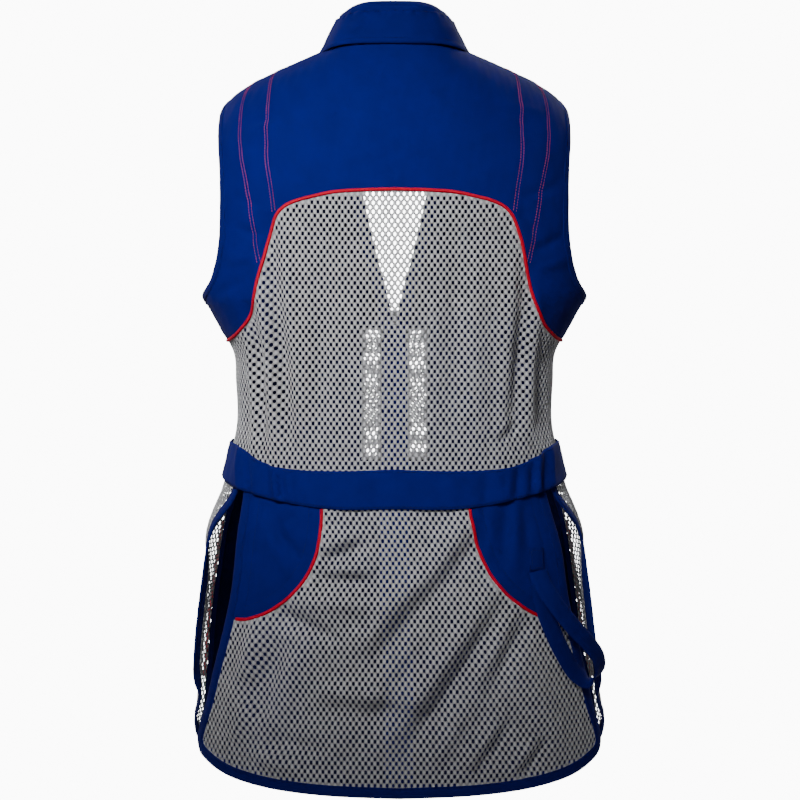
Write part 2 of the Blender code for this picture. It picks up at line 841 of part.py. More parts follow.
def make_back_mesh():
    seam = smooth_path(YOKE_SEAM)
    side_top = (SIDE_SEAM_SHARE * float(BODY.half(YOKE_SIDE_DOWN)), YOKE_SIDE_DOWN)
    low = belt_line(BELT_TOP, TUCK)
    low_side = low[-1, 1]
    low = cut_line(low, high=SIDE_SEAM_SHARE * float(BODY.half(low_side)) - SPACING_LEAST)
    side = side_seam(side_top, low_side)
    low = np.concatenate([low, side[-1:]])
    half_plain = SEAM_GAP / 2
    piped = PIPING_RADIUS + SEAM_GAP
    left = [
        (seam, piped),
        (straight(seam[-1], side_top), piped),
        (side, half_plain),
        (low[::-1], half_plain),
    ]
    return wall("back_mesh", left + on_side(left, -1), MESH_CLOTH, "grey_mesh")


def gather_height(places):
    height = np.zeros(len(places))
    for across, half_width, peak in GATHERS:
        height += peak * np.exp(-((places[:, 0] - across) / half_width) ** 2)
    return height


def make_waistband():
    top = both_sides(smooth_path(BELT_TOP, FINE_STEP))
    bottom = both_sides(smooth_path(BELT_BOTTOM, FINE_STEP))
    right_end = straight(top[0], bottom[0])
    left_end = straight(bottom[-1], top[-1])
    edges = [(right_end, 0.0), (bottom, 0.0), (left_end, 0.0), (top[::-1], 0.0)]
    return wall("waistband", edges, BELT_THICK, "blue_cloth", BELT_LIFT, gather_height, BELT_STEP)


def tail_lines():
    """Edge of the tail, the line inside its binding, the facing seam and the top line."""
    edge = smooth_path(TAIL_EDGE)
    seam = smooth_path(FACING_SEAM)
    seam = cut_line(seam, high=FACING_OUTER)
    top = belt_line(BELT_BOTTOM, -TUCK)
    top = cut_line(top, high=edge[0, 0] - SPACING_LEAST)
    return edge, seam, top


def make_tail_mesh():
    edge, seam, top = tail_lines()
    bound = TAIL_BINDING_WIDTH + SEAM_GAP
    piped = PIPING_RADIUS + SEAM_GAP
    plain = SEAM_GAP / 2
    start = int(np.argmin(np.abs(edge[:, 1] - seam[-1, 1])))
    top_inner = cut_line(top, high=seam[0, 0] - SPACING_LEAST)
    top_inner = np.concatenate([top_inner, [(seam[0, 0], down_on(top, seam[0, 0]))]])
    upper = np.concatenate([top_inner[-1:], seam[seam[:, 1] > top_inner[-1, 1] + SPACING_LEAST]])
    left = [
        (top_inner, plain),
        (np.concatenate([upper, edge[start:start + 1]]), piped),
        (edge[start:], bound),
    ]
    return wall("tail_mesh", left + on_side(left, -1), MESH_CLOTH, "grey_mesh")


def make_tail_facing(name, side):
    edge, seam, top = tail_lines()
    bound = TAIL_BINDING_WIDTH + SEAM_GAP
    piped = PIPING_RADIUS + SEAM_GAP
    plain = SEAM_GAP / 2
    end = int(np.argmin(np.abs(edge[:, 1] - seam[-1, 1])))
    start = (seam[0, 0], down_on(top, seam[0, 0]))
    top_outer = np.concatenate([[start], cut_line(top, low=seam[0, 0] + SPACING_LEAST), edge[:1]])
    upper = np.concatenate([[start], seam[seam[:, 1] > start[1] + SPACING_LEAST], edge[end:end + 1]])
    edges = [(top_outer, plain), (edge[:end + 1], bound), (upper[::-1], piped)]
    return wall(name, on_side(edges, side), CLOTH, "blue_cloth")


def make_facing_piping(name, side):
    seam = cut_line(smooth_path(FACING_SEAM, FINE_STEP), high=FACING_PIPING_OUTER)
    start = down_on(belt_line(BELT_BOTTOM), seam[0, 0]) + PIPING_BELOW_BELT
    first = (float(np.interp(start, seam[:, 1], seam[:, 0])), start)
    path = np.concatenate([[first], seam[seam[:, 1] > start + SPACING_LEAST]])
    if side < 0:
        path = mirrored(path)
    return piping(name, path)


def make_tail_binding():
    edge = both_sides(smooth_path(TAIL_EDGE)[::-1])
    return binding("tail_binding", edge, -TAIL_BINDING_WIDTH)


def make_armhole_binding(name, side):
    path = armhole_path()
    width = ARMHOLE_BINDING_WIDTH
    if side < 0:
        path = mirrored(path)
        width = -width
    return binding(name, path, width, closed=True)


def make_yoke_piping():
    seam = smooth_path(YOKE_SEAM)
    side_across = SIDE_SEAM_SHARE * float(BODY.half(YOKE_SIDE_DOWN)) - PIPING_TUCK
    side_top = (side_across, YOKE_SIDE_DOWN)
    path = np.concatenate([seam, straight(seam[-1], side_top)[1:]])
    return piping("yoke_piping", both_sides(path))


# Hanging loop

def make_strap_tab():
    across, down, width, height = STRAP_TAB
    half_w = width / 2
    corners = [
        (across - half_w, down - height / 2),
        (across + half_w, down - height / 2),
        (across + half_w, down + height / 2),
        (across - half_w, down + height / 2),
    ]
    edges = [(straight(corners[k], corners[(k + 1) % 4], FINE_STEP), 0.0) for k in range(4)]
    return wall("strap_tab", edges, STRAP_THICK, "blue_cloth", TAB_LIFT, spacing=FINE_STEP)


def make_hanging_loop():
    route = smooth_path(STRAP_ROUTE, STRAP_STEP)
    centres = on_body(route[:, :2], route[:, 2])
    ways = np.gradient(centres, axis=0)
    ways = ways / np.linalg.norm(ways, axis=1, keepdims=True)
    leg = centres[len(centres) // 3] - centres[0]
    shares = route[:, 0] / BODY.half(route[:, 1])
    facing = BODY.normal(shares, route[:, 1])
    sides = np.cross(facing, leg / np.linalg.norm(leg))
    sides = sides - ways * np.sum(sides * ways, axis=1, keepdims=True)
    sides = sides / np.linalg.norm(sides, axis=1, keepdims=True)
    outs = np.cross(ways, sides)
    half_w = STRAP_WIDTH / 2
    half_t = STRAP_THICK / 2
    profile = [(-half_w, -half_t), (half_w, -half_t), (half_w, half_t), (-half_w, half_t)]
    return sweep("hanging_loop", centres, sides, outs, profile, "blue_cloth")


# Collar

def collar_part(name, form, thickness, rows):
    """One layer of the collar, round the back from one front end to the other."""
    shares = np.linspace(-COLLAR_FRONT_SHARE, COLLAR_FRONT_SHARE, COLLAR_STEPS + 1)
    downs = np.linspace(0.0, form.length, rows + 1)
    grid_share, grid_down = np.meshgrid(shares, downs)
    share = grid_share.ravel()
    down = grid_down.ravel()
    base = form.point(share, down)
    normal = form.normal(share, down)
    width = len(shares)
    faces = []
    for row in range(rows):
        for k in range(width - 1):
            a = row * width + k
            faces.append((a, a + 1, a + 1 + width, a + width))
    sign = np.where(np.sum(normal * (base * (1, 1, 0)), axis=1) < 0, -1.0, 1.0)[:, None]
    outer = base + normal * sign * thickness
    points, solid = skin(base, faces, outer, base)
    return new_object(name, points, solid, "blue_cloth")


# Pieces of the front

def opening_line(away):
    """The front edge on one side, from the neck down to the hem, `away` from the opening."""
    base = smooth_path(NECK_OPENING, SPACING_LEAST)
    base = np.concatenate([base, [(0.0, ZIP_STOP + STRAIGHT_BELOW_STOP), (0.0, SKIRT_HEM + PAST_HEM)]])
    ways = np.gradient(base, axis=0)
    ways = ways / np.linalg.norm(ways, axis=1, keepdims=True)
    moved = base + np.column_stack([ways[:, 1], -ways[:, 0]]) * away
    downs = straight((0.0, 0.0), (0.0, SKIRT_HEM), OPENING_STEP)[:, 1]
    return np.array(from_front(np.column_stack([np.interp(downs, moved[:, 1], moved[:, 0]), downs])))


def skirt_lines():
    """The skirt's seam on the front panel, and the seam above it, from the side seam to that."""
    seam = smooth_path(tuple(tuple(row) for row in from_front(SKIRT_SEAM)))
    side = (SIDE_SEAM_SHARE * float(BODY.half(SKIRT_TOP)), SKIRT_TOP)
    return seam, straight(side, seam[0])


def skirt_edge(end):
    """The front skirt's back edge and corner down to its seam's foot, and the hem from there."""
    seam, _ = skirt_lines()
    level = (float(BODY.half(SKIRT_HEM)) - FRONT_EDGE - HEM_LEVEL, SKIRT_HEM)
    hem = tuple(tuple(row) for row in from_front(FRONT_HEM))
    line = smooth_path(SLIT_EDGE + (tuple(seam[-1]),) + hem + (level,))
    foot = int(np.argmin(np.linalg.norm(line - seam[-1], axis=1)))
    line[foot] = seam[-1]
    return line[:foot + 1], np.concatenate([line[foot:], straight(level, end)[1:]])


def make_front_panel(name, side):
    _, front = armhole_parts()
    plain = SEAM_GAP / 2
    bound = ARMHOLE_BINDING_WIDTH + SEAM_GAP
    side_line = side_seam(front[-1], SKIRT_TOP)
    seam, waist = skirt_lines()
    edge = opening_line(FRONT_EDGE)
    inner = FRONT_EDGE + INSET_WIDTH
    corners = from_front([
        (FRONT_EDGE, INSET_TOP),
        (inner, INSET_TOP),
        (inner, INSET_BOTTOM),
        (FRONT_EDGE, INSET_BOTTOM),
    ])
    notch = np.array(from_front(straight((inner, INSET_TOP), (inner, INSET_BOTTOM))))
    upper = np.concatenate([edge[edge[:, 1] < INSET_TOP - SPACING_LEAST], corners[:1]])
    lower = np.concatenate([corners[3:], edge[edge[:, 1] > INSET_BOTTOM + SPACING_LEAST]])
    edges = [
        (shoulder_seam(front[0]), plain),
        (front, bound),
        (side_line, plain),
        (waist, plain),
        (seam, plain),
        (skirt_edge(edge[-1])[1], SKIRT_BINDING_WIDTH + SEAM_GAP),
        (lower[::-1], plain),
        (np.array([corners[3], corners[2]]), plain),
        (notch[::-1], plain),
        (np.array([corners[1], corners[0]]), plain),
        (upper[::-1], plain),
        (straight(edge[0], shoulder_seam(front[0])[0]), SEAM_GAP),
    ]
    return wall(name, on_side(edges, side), CLOTH, "blue_cloth")


def make_inset(name, side):
    plain = SEAM_GAP / 2
    inner = FRONT_EDGE + INSET_WIDTH
    corners = [
        (FRONT_EDGE, INSET_TOP),
        (inner, INSET_TOP),
        (inner, INSET_BOTTOM),
        (FRONT_EDGE, INSET_BOTTOM),
    ]
    edges = []
    for k in range(4):
        line = from_front(straight(corners[k], corners[(k + 1) % 4]))
        edges.append((np.array(line), plain))
    return wall(name, on_side(edges, side), MESH_CLOTH, "grey_mesh")


def make_front_strip(name, side, away, width, thickness, finish):
    """A strip that runs down beside the opening from the neck to the hem."""
    first = opening_line(away)
    second = opening_line(away + width)
    if side < 0:
        first = mirrored(first)
        second = mirrored(second)
    return strip(name, [first, second], thickness, finish)


def make_skirt_mesh(name, side):
    slit, _ = skirt_edge(opening_line(FRONT_EDGE)[-1])
    seam, waist = skirt_lines()
    plain = SEAM_GAP / 2
    bound = SKIRT_BINDING_WIDTH + SEAM_GAP
    edges = [
        (straight(slit[0], waist[0]), plain),
        (waist, plain),
        (seam, plain),
        (slit[::-1], bound),
    ]
    return wall(name, on_side(edges, side), MESH_CLOTH, "grey_mesh", relief=skirt_flare)


def skirt_flare(places):
    """How far the skirt's side leans in behind its back edge."""
    edge = np.array(SLIT_EDGE)
    across = np.minimum(np.interp(places[:, 1], edge[:, 1], edge[:, 0]), FLARE_EDGE)
    gone = np.maximum(np.abs(places[:, 0]) - across, 0.0)
    bend = 1.0 - np.exp(-((gone / FLARE_TURN) ** 2))
    fade = np.exp(-((np.maximum(gone - 2 * FLARE_TURN, 0.0) / FLARE_FADE) ** 2))
    return -FLARE_IN * bend * fade * smooth_rise(places[:, 1], FLARE_FROM, FLARE_OVER)


def make_skirt_binding(name, side):
    """Binding down the back edge of the front skirt and along its hem to the front edge."""
    edge = opening_line(FRONT_EDGE)
    stop = (np.interp(SKIRT_HEM - SKIRT_BINDING_WIDTH, edge[:, 1], edge[:, 0]) - SEAM_GAP, SKIRT_HEM)
    slit, hem = skirt_edge(stop)
    path = np.concatenate([slit, hem[1:]])
    width = SKIRT_BINDING_WIDTH
    if side < 0:
        path = mirrored(path)
        width = -width
    return binding(name, path, -width, relief=skirt_flare)


def pocket_relief(side):
    """How far a pocket stands off the panel: nothing at its sides and foot, most at its mouth."""
    def relief(places):
        away = BODY.half(places[:, 1]) - side * places[:, 0]
        width_share = np.clip((away - POCKET_INNER) / (POCKET_OUTER - POCKET_INNER), 0.0, 1.0)
        rise_share = np.clip((POCKET_BOTTOM - places[:, 1]) / (POCKET_BOTTOM - POCKET_TOP), 0.0, 1.0)
        belly = np.sin(np.pi * width_share) ** POCKET_BELLY_POWER
        return POCKET_DEPTH * belly * np.sin(0.5 * np.pi * rise_share) ** POCKET_RISE_POWER
    return relief


def pocket_corners():
    """Outline of a pocket as distances from the centre front, with rounded lower corners."""
    outline = [(POCKET_INNER, POCKET_TOP)]
    for centre, start in ((POCKET_INNER + POCKET_CORNER, 180), (POCKET_OUTER - POCKET_CORNER, 90)):
        for k in range(5):
            angle = math.radians(start - 90 * k / 4)
            away = centre + POCKET_CORNER * math.cos(angle)
            outline.append((away, POCKET_BOTTOM - POCKET_CORNER + POCKET_CORNER * math.sin(angle)))
    outline.append((POCKET_OUTER, POCKET_TOP))
    return outline


def make_pocket(name, side):
    outline = pocket_corners()
    edges = []
    for start, end in zip(outline, outline[1:] + outline[:1]):
        edges.append((np.array(from_front(straight(start, end))), 0.0))
    lift = CLOTH + 2 * SEAM_GAP
    return wall(name, on_side(edges, side), CLOTH, "blue_cloth", lift, pocket_relief(side))


def make_front_piping(name, side):
    top = (FRONT_PIPING, INSET_TOP)
    path = np.array(from_front(straight(top, (FRONT_PIPING, FRONT_PIPING_BOTTOM))))
    if side < 0:
        path = mirrored(path)
    return piping(name, path, CLOTH + SEAM_GAP + PIPING_RADIUS + CORD_OFF_PANEL)


# Zip

def zip_place():
    """Where the slider sits: on the centre front, at the foot of the open neck."""
    place = on_body(np.array(from_front([(0.0, ZIP_STOP)])), 0.0)[0]
    return Vector((0.0, place[1], place[2]))


def make_chain():
    rows = from_front(straight((CHAIN_HALF, CHAIN_FROM), (CHAIN_HALF, CHAIN_TO)))
    left = on_body(np.array(rows), 0.0)
    right = on_body(mirrored(rows), 0.0)
    centres = (left + right) / 2
    sides = (left - right) / np.linalg.norm(left - right, axis=1, keepdims=True)
    ways = np.gradient(centres, axis=0)
    outs = np.cross(ways, sides)
    outs = outs / np.linalg.norm(outs, axis=1, keepdims=True)
    outs = outs * np.where(outs[:, 1:2] > 0, -1.0, 1.0)
    profile = [
        (-CHAIN_HALF, 0.0),
        (CHAIN_HALF, 0.0),
        (CHAIN_HALF, CHAIN_DEPTH),
        (-CHAIN_HALF, CHAIN_DEPTH),
    ]
    return sweep("zip_chain", centres, sides, outs, profile, "zip_metal")


def box(name, low, high, finish, bevel=0.0, location=(0.0, 0.0, 0.0)):
    """A box between two corners, its long edges eased by a Bevel."""
    points = [(x, y, z) for x in (low[0], high[0]) for y in (low[1], high[1]) for z in (low[2], high[2])]
    faces = [(0, 1, 3, 2), (4, 6, 7, 5), (0, 4, 5, 1), (2, 3, 7, 6), (0, 2, 6, 4), (1, 5, 7, 3)]
    piece = new_object(name, points, faces, finish)
    piece.location = location
    if bevel:
        ease = piece.modifiers.new("ease", "BEVEL")
        ease.width = bevel
        ease.segments = 2
    return piece


def rod_along_x(name, radius, half_length, centre, finish, sides=16):
    """A round rod along X."""
    points = []
    for x in (-half_length, half_length):
        for k in range(sides):
            angle = 2 * math.pi * k / sides
            offset = Vector((x, radius * math.cos(angle), radius * math.sin(angle)))
            points.append(Vector(centre) + offset)
    faces = [tuple(range(sides)), tuple(range(2 * sides - 1, sides - 1, -1))]
    for k in range(sides):
        after = (k + 1) % sides
        faces.append((k, after, after + sides, k + sides))
    return new_object(name, points, faces, finish)


def join_to(piece, other, operation):
    """Add a Boolean and keep its operand out of the model."""
    cut = piece.modifiers.new(other.name, "BOOLEAN")
    cut.operation = operation
    cut.object = other
    other.hide_render = True
    other.display_type = "WIRE"


def slider_centre():
    place = zip_place()
    front = place.y - SLIDER_DEPTH / 2 - SLIDER_OFF_CLOTH
    return Vector((0.0, front, place.z))


def pin_centre():
    return slider_centre() + Vector((0.0, -SLIDER_DEPTH / 2 - PIN_OUT, PIN_ABOVE))


def make_slider():
    centre = slider_centre()
    half = Vector((SLIDER_WIDTH / 2, SLIDER_DEPTH / 2, SLIDER_LENGTH / 2))
    body = box("zip_slider", -half, half, "zip_metal", SLIDER_BEVEL, centre)
    pin = pin_centre()
    inner = EYE_HALF_WIDTH + PIN_CLEAR
    for side in (-1, 1):
        near, far = sorted((side * inner, side * (inner + LUG_THICK)))
        low = Vector((near, pin.y - LUG_REACH / 2, pin.z - LUG_HALF_HEIGHT))
        high = Vector((far, centre.y - SLIDER_DEPTH / 2 + LUG_OVERLAP, pin.z + LUG_HALF_HEIGHT))
        word = "left" if side > 0 else "right"
        lug = box("lug_" + word, low, high, "zip_metal")
        join_to(body, lug, "UNION")
    rod = rod_along_x("pin", PIN_RADIUS, inner + LUG_THICK / 2, pin, "zip_metal")
    join_to(body, rod, "UNION")
    return body


def make_pull_tab():
    """A flat tab with a round eye; its origin is on the pin."""
    pin = pin_centre()
    outline = []
    for k in range(9):
        angle = math.radians(180 * k / 8)
        outline.append((EYE_RADIUS * math.cos(angle), EYE_RADIUS * math.sin(angle)))
    half_t = TAB_THICK / 2
    outline.append((-half_t, -EYE_RADIUS))
    outline.append((-half_t, -TAB_LENGTH))
    outline.append((half_t, -TAB_LENGTH))
    outline.append((half_t, -EYE_RADIUS))
    count = len(outline)
    points = [(x, y, z) for x in (-EYE_HALF_WIDTH, EYE_HALF_WIDTH) for y, z in outline]
    faces = [tuple(range(count)), tuple(range(2 * count - 1, count - 1, -1))]
    for k in range(count):
        after = (k + 1) % count
        faces.append((k, after, after + count, k + count))
    tab = new_object("pull_tab", points, faces, "zip_metal")
    tab.location = pin
    reach = half_t + GRIP_EXTRA
    grip_low = Vector((-TAB_WIDTH / 2, pin.y - reach, pin.z - TAB_LENGTH - GRIP_BELOW))
    grip_high = Vector((TAB_WIDTH / 2, pin.y + reach, pin.z - GRIP_TOP))
    join_to(tab, box("grip", grip_low, grip_high, "zip_metal", GRIP_BEVEL), "UNION")
    hole = rod_along_x("eye_hole", EYE_HOLE, HOLE_HALF_LENGTH, pin, "zip_metal")
    join_to(tab, hole, "DIFFERENCE")
    return tab


# Materials and the whole vest

def make_materials():
    made = {}
    for name, (colour, roughness, metallic) in FINISHES.items():
        material = bpy.data.materials.new(name)
        material.use_nodes = True
        shader = material.node_tree.nodes["Principled BSDF"]
        shader.inputs["Base Color"].default_value = colour
        shader.inputs["Roughness"].default_value = roughness
        shader.inputs["Metallic"].default_value = metallic
        made[name] = material
    return made


def clear_scene():
    for piece in list(bpy.data.objects):
        bpy.data.objects.remove(piece, do_unlink=True)


def make_vest():
    make_yoke()
    make_back_mesh()
    make_waistband()
    make_tail_mesh()
    make_tail_binding()
    make_yoke_piping()
    make_strap_tab()
    make_hanging_loop()
    collar_part("collar_stand", STAND, CLOTH, 3)
    collar_part("collar_fall", FALL, CLOTH, 4)
    for word, side in (("left", 1), ("right", -1)):
        make_tail_facing("tail_facing_" + word, side)
        make_facing_piping("facing_piping_" + word, side)
        make_armhole_binding("armhole_binding_" + word, side)
        make_front_panel("front_" + word, side)
        make_inset("front_mesh_" + word, side)
        make_front_piping("front_piping_" + word, side)
        make_front_strip("fly_" + word, side, FLY_EDGE, FLY_WIDTH, CLOTH, "blue_cloth")
        make_front_strip("zip_tape_" + word, side, TAPE_EDGE, TAPE_WIDTH, TAPE_CLOTH, "blue_cloth")
        make_skirt_mesh("skirt_mesh_" + word, side)
        make_skirt_binding("skirt_binding_" + word, side)
        make_pocket("pocket_" + word, side)
    make_chain()
    make_slider()
    make_pull_tab()


clear_scene()
MATERIALS = make_materials()
make_vest()
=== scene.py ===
"""Shooting vest: its cloth, mesh, seams, piping and zip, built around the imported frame.

Metres, +Z up. The front faces -Y and +X is the wearer's left. Every panel is a region of one
body form. Places on it are given as a tailor gives them: `across`, measured round the body
from the centre of the back, and `down`, measured from the neck seam.
"""
import math

import bmesh
import bpy
import numpy as np
from bpy.props import FloatProperty, FloatVectorProperty, PointerProperty
from bpy.types import Operator, Panel, PropertyGroup
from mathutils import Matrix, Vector
from mathutils.geometry import delaunay_2d_cdt


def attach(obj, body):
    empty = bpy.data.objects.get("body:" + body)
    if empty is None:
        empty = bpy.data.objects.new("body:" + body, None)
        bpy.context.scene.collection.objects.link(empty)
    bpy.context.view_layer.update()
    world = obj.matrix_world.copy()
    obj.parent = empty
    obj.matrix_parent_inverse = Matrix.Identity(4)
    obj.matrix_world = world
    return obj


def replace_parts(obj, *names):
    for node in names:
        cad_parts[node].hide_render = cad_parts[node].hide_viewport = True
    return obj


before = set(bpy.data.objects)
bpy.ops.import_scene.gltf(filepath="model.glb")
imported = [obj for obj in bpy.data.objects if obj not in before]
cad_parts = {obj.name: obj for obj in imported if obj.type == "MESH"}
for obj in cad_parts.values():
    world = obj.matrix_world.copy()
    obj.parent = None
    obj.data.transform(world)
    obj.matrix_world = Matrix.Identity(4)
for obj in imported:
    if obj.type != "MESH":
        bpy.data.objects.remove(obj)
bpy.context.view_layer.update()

bl_info = {
    "name": "Shooting vest",
    "version": (1, 0, 0),
    "blender": (4, 5, 0),
    "location": "3D View > Sidebar > Vest",
    "description": "Builds the cloth, mesh, seams and zip of a shooting vest around its frame",
    "category": "Object",
}

ROOT = "vest"

# Cloth and seams, as the frame has them
SEAM_GAP = 0.0003
PIPING_LIFT = 0.0012
BINDING_TOP = 0.0020
TAIL_BINDING_WIDTH = 0.0110
ARMHOLE_BINDING_WIDTH = 0.0090
SKIRT_BINDING_WIDTH = 0.0085
SHOULDER_SEAM_SHARE = 0.530
SIDE_SEAM_SHARE = 0.520
YOKE_SIDE_DOWN = 0.309
SKIRT_TOP = 0.440
SKIRT_HEM = 0.8055
HEM_LEVEL = 0.040
ARMHOLE_MIDDLE = 0.200
FACING_OUTER = 0.1722
PIPING_BELOW_BELT = 0.0006
BELT_LIFT = 0.0026
BELT_THICK = 0.0022

# Front opening, as distances from the centre front
ZIP_STOP = 0.287
CHAIN_HALF = 0.0027
CHAIN_FROM = ZIP_STOP + 0.009
TAPE_EDGE = 0.0030
TAPE_WIDTH = 0.0060
TAPE_OUT = -0.0024
FLY_EDGE = 0.0069
FLY_WIDTH = 0.0094
FLY_OUT = -0.0014
FLY_THICK = 0.0013
CORE_WIDTH = 0.0090
CORE_THICK = 0.0009
CORE_OUT = -0.0008
INSET_UNDER = 0.0022
INSET_DEEP = 0.0027
SEAM_TAPE_HALF = 0.0040
SEAM_TAPE_OUT = -0.0012
SEAM_TAPE_THICK = 0.0011
FRONT_EDGE = 0.0158
INSET_WIDTH = 0.0180
INSET_TOP = 0.302
INSET_BOTTOM = 0.440
FRONT_PIPING = 0.0420
FRONT_PIPING_BOTTOM = 0.442
# Skirt's seam on a front: distance from the centre front, down
SKIRT_SEAM = (
    (0.1900, SKIRT_TOP), (0.2010, 0.5200), (0.2130, 0.6000), (0.2255, 0.6700), (0.2344, 0.7405),
)

# Collar
COLLAR_FRONT_SHARE = 0.775
COLLAR_STEPS = 170
COLLAR_SEAM = 0.0120
COLLAR_SEAM_HALF = 0.0015
COLLAR_SEAM_DEEP = 0.0013
COLLAR_PUCKER = 0.0007
COLLAR_PUCKER_PITCH = 0.0120
COLLAR_PUCKER_REACH = 0.0030
COLLAR_LIP = 0.0006
COLLAR_LIP_HALF = 0.0024
NECK_SEAM = 0.0016

# Hanging loop
STRAP_WIDTH = 0.019
STRAP_THICK = 0.0015
TAB_LIFT = 0.0021

# Patch pockets
POCKET_TOP = 0.500
POCKET_BOTTOM = 0.668
POCKET_INNER = 0.024
POCKET_OUTER = 0.176
POCKET_DEPTH = 0.018
POCKET_CORNER = 0.022
SEAM_CORD_BESIDE = 0.0030
MOUTH_STITCH = 0.022
MOUTH_END = 0.003
POCKET_STITCH = 0.0025
POCKET_STITCH_TOP = 0.004

# Steps between points
PANEL_STEP = 0.0048
YOKE_STEP = 0.0023
EDGE_STEP = 0.0050
CORD_STEP = 0.0030
RING_ROWS = (0.0014, 0.0036)
LINE_ROWS = (-0.0016, 0.0, 0.0016)
LEAST = 0.0015
FRONT_STEP = 0.0065
BELT_STEP = 0.0036
STRIP_STEP = 0.0030
POCKET_STEP = 0.0055
STRAP_STEP = 0.0035
TAB_EDGE_STEP = 0.0040
OPENING_STEP = 0.0070
# How far a panel's edge drops
SOFT_DROP = 0.0006
STRIP_DROP = 0.0003
TAB_DROP = 0.0005
POCKET_DROP = 0.0007
SHARP_EDGE = 60
TOOTH_SHARP = 30
FAR_OFF = 1e9
TINY = 1e-12

# Body form: one row for each ring of the body
# down, side_x, side_z, back_y, back_z, front_y, front_z
BODY_RINGS = (
    (0.000, 0.066, 0.011, 0.060, 0.014, -0.066, -0.066),
    (0.030, 0.092, 0.000, 0.076, -0.012, -0.084, -0.092),
    (0.060, 0.119, -0.012, 0.089, -0.039, -0.098, -0.116),
    (0.090, 0.145, -0.025, 0.098, -0.067, -0.108, -0.138),
    (0.115, 0.166, -0.040, 0.103, -0.092, -0.115, -0.156),
    (0.140, 0.184, -0.066, 0.106, -0.117, -0.120, -0.172),
    (0.170, 0.193, -0.108, 0.108, -0.147, -0.124, -0.190),
    (0.205, 0.197, -0.168, 0.109, -0.182, -0.127, -0.210),
    (0.240, 0.198, -0.217, 0.109, -0.217, -0.129, -0.229),
    (0.262, 0.196, -0.239, 0.108, -0.239, -0.130, -0.246),
    (0.276, 0.188, -0.253, 0.108, -0.253, -0.130, -0.256),
    (0.298, 0.176, -0.275, 0.107, -0.275, -0.129, -0.277),
    (0.318, 0.165, -0.295, 0.106, -0.295, -0.128, -0.296),
    (0.350, 0.162, -0.327, 0.103, -0.327, -0.123, -0.327),
    (0.400, 0.162, -0.377, 0.099, -0.377, -0.115, -0.377),
    (0.422, 0.167, -0.399, 0.098, -0.399, -0.112, -0.399),
    (0.455, 0.175, -0.432, 0.099, -0.432, -0.112, -0.432),
    (0.500, 0.190, -0.477, 0.106, -0.477, -0.116, -0.477),
    (0.560, 0.200, -0.537, 0.115, -0.537, -0.122, -0.537),
    (0.630, 0.208, -0.607, 0.122, -0.607, -0.127, -0.607),
    (0.680, 0.214, -0.657, 0.126, -0.657, -0.130, -0.657),
    (0.820, 0.220, -0.797, 0.132, -0.797, -0.134, -0.797),
)
# Collar stand, from the neck seam up
STAND_RINGS = (
    (0.000, 0.0660, 0.0123, 0.0600, 0.0153, -0.0660, -0.0643),
    (0.020, 0.0565, 0.0290, 0.0540, 0.0345, -0.0610, -0.0430),
    (0.041, 0.0423, 0.0488, 0.0463, 0.0558, -0.0545, -0.0197),
)
# Collar fall, from the roll line down over the stand
FALL_RINGS = (
    (0.000, 0.0440, 0.0500, 0.0480, 0.0570, -0.0560, -0.0185),
    (0.005, 0.0505, 0.0465, 0.0535, 0.0545, -0.0610, -0.0205),
    (0.024, 0.0645, 0.0285, 0.0605, 0.0360, -0.0680, -0.0400),
    (0.046, 0.0762, 0.0046, 0.0628, 0.0148, -0.0740, -0.0640),
)
BACK_POWER = 2.5
FRONT_POWER = 2.25
RISE_POWER = 4.0

# The skirt hangs a little towards the wearer's right, the tail from higher up than the front
SWING = 0.005
TAIL_SWING_FROM = 0.44
FRONT_SWING_FROM = 0.60
SWING_OVER = 0.10
SWING_BACK_SHARE = 0.36
SWING_FADE = 0.12

# Largest folds, as soft ridges and troughs
# across, down, to_across, to_down, half_width, height
FOLDS = (
    (-0.078, 0.476, 0.062, 0.722, 0.016, 0.0050),
    (-0.050, 0.478, 0.020, 0.640, 0.013, -0.0040),
    (-0.030, 0.560, 0.120, 0.735, 0.015, -0.0035),
    (0.056, 0.480, 0.052, 0.600, 0.013, 0.0035),
    (0.110, 0.560, 0.165, 0.715, 0.016, -0.0040),
    (0.140, 0.600, 0.188, 0.700, 0.012, 0.0035),
    (-0.120, 0.600, -0.170, 0.730, 0.017, 0.0040),
    (-0.100, 0.480, -0.085, 0.560, 0.014, -0.0030),
    (-0.020, 0.665, -0.090, 0.745, 0.014, 0.0030),
    (0.112, 0.200, 0.128, 0.420, 0.014, 0.0030),
    (0.084, 0.180, 0.098, 0.360, 0.013, -0.0025),
    (-0.112, 0.200, -0.126, 0.410, 0.014, 0.0030),
    (-0.080, 0.190, -0.092, 0.340, 0.013, -0.0025),
    (0.150, 0.330, 0.172, 0.430, 0.012, -0.0030),
    (-0.150, 0.320, -0.170, 0.420, 0.012, -0.0030),
    (0.360, 0.420, 0.400, 0.620, 0.020, 0.0040),
    (-0.370, 0.430, -0.410, 0.640, 0.020, 0.0040),
    (0.330, 0.300, 0.400, 0.250, 0.018, -0.0035),
    (-0.330, 0.300, -0.395, 0.245, 0.018, -0.0035),
)

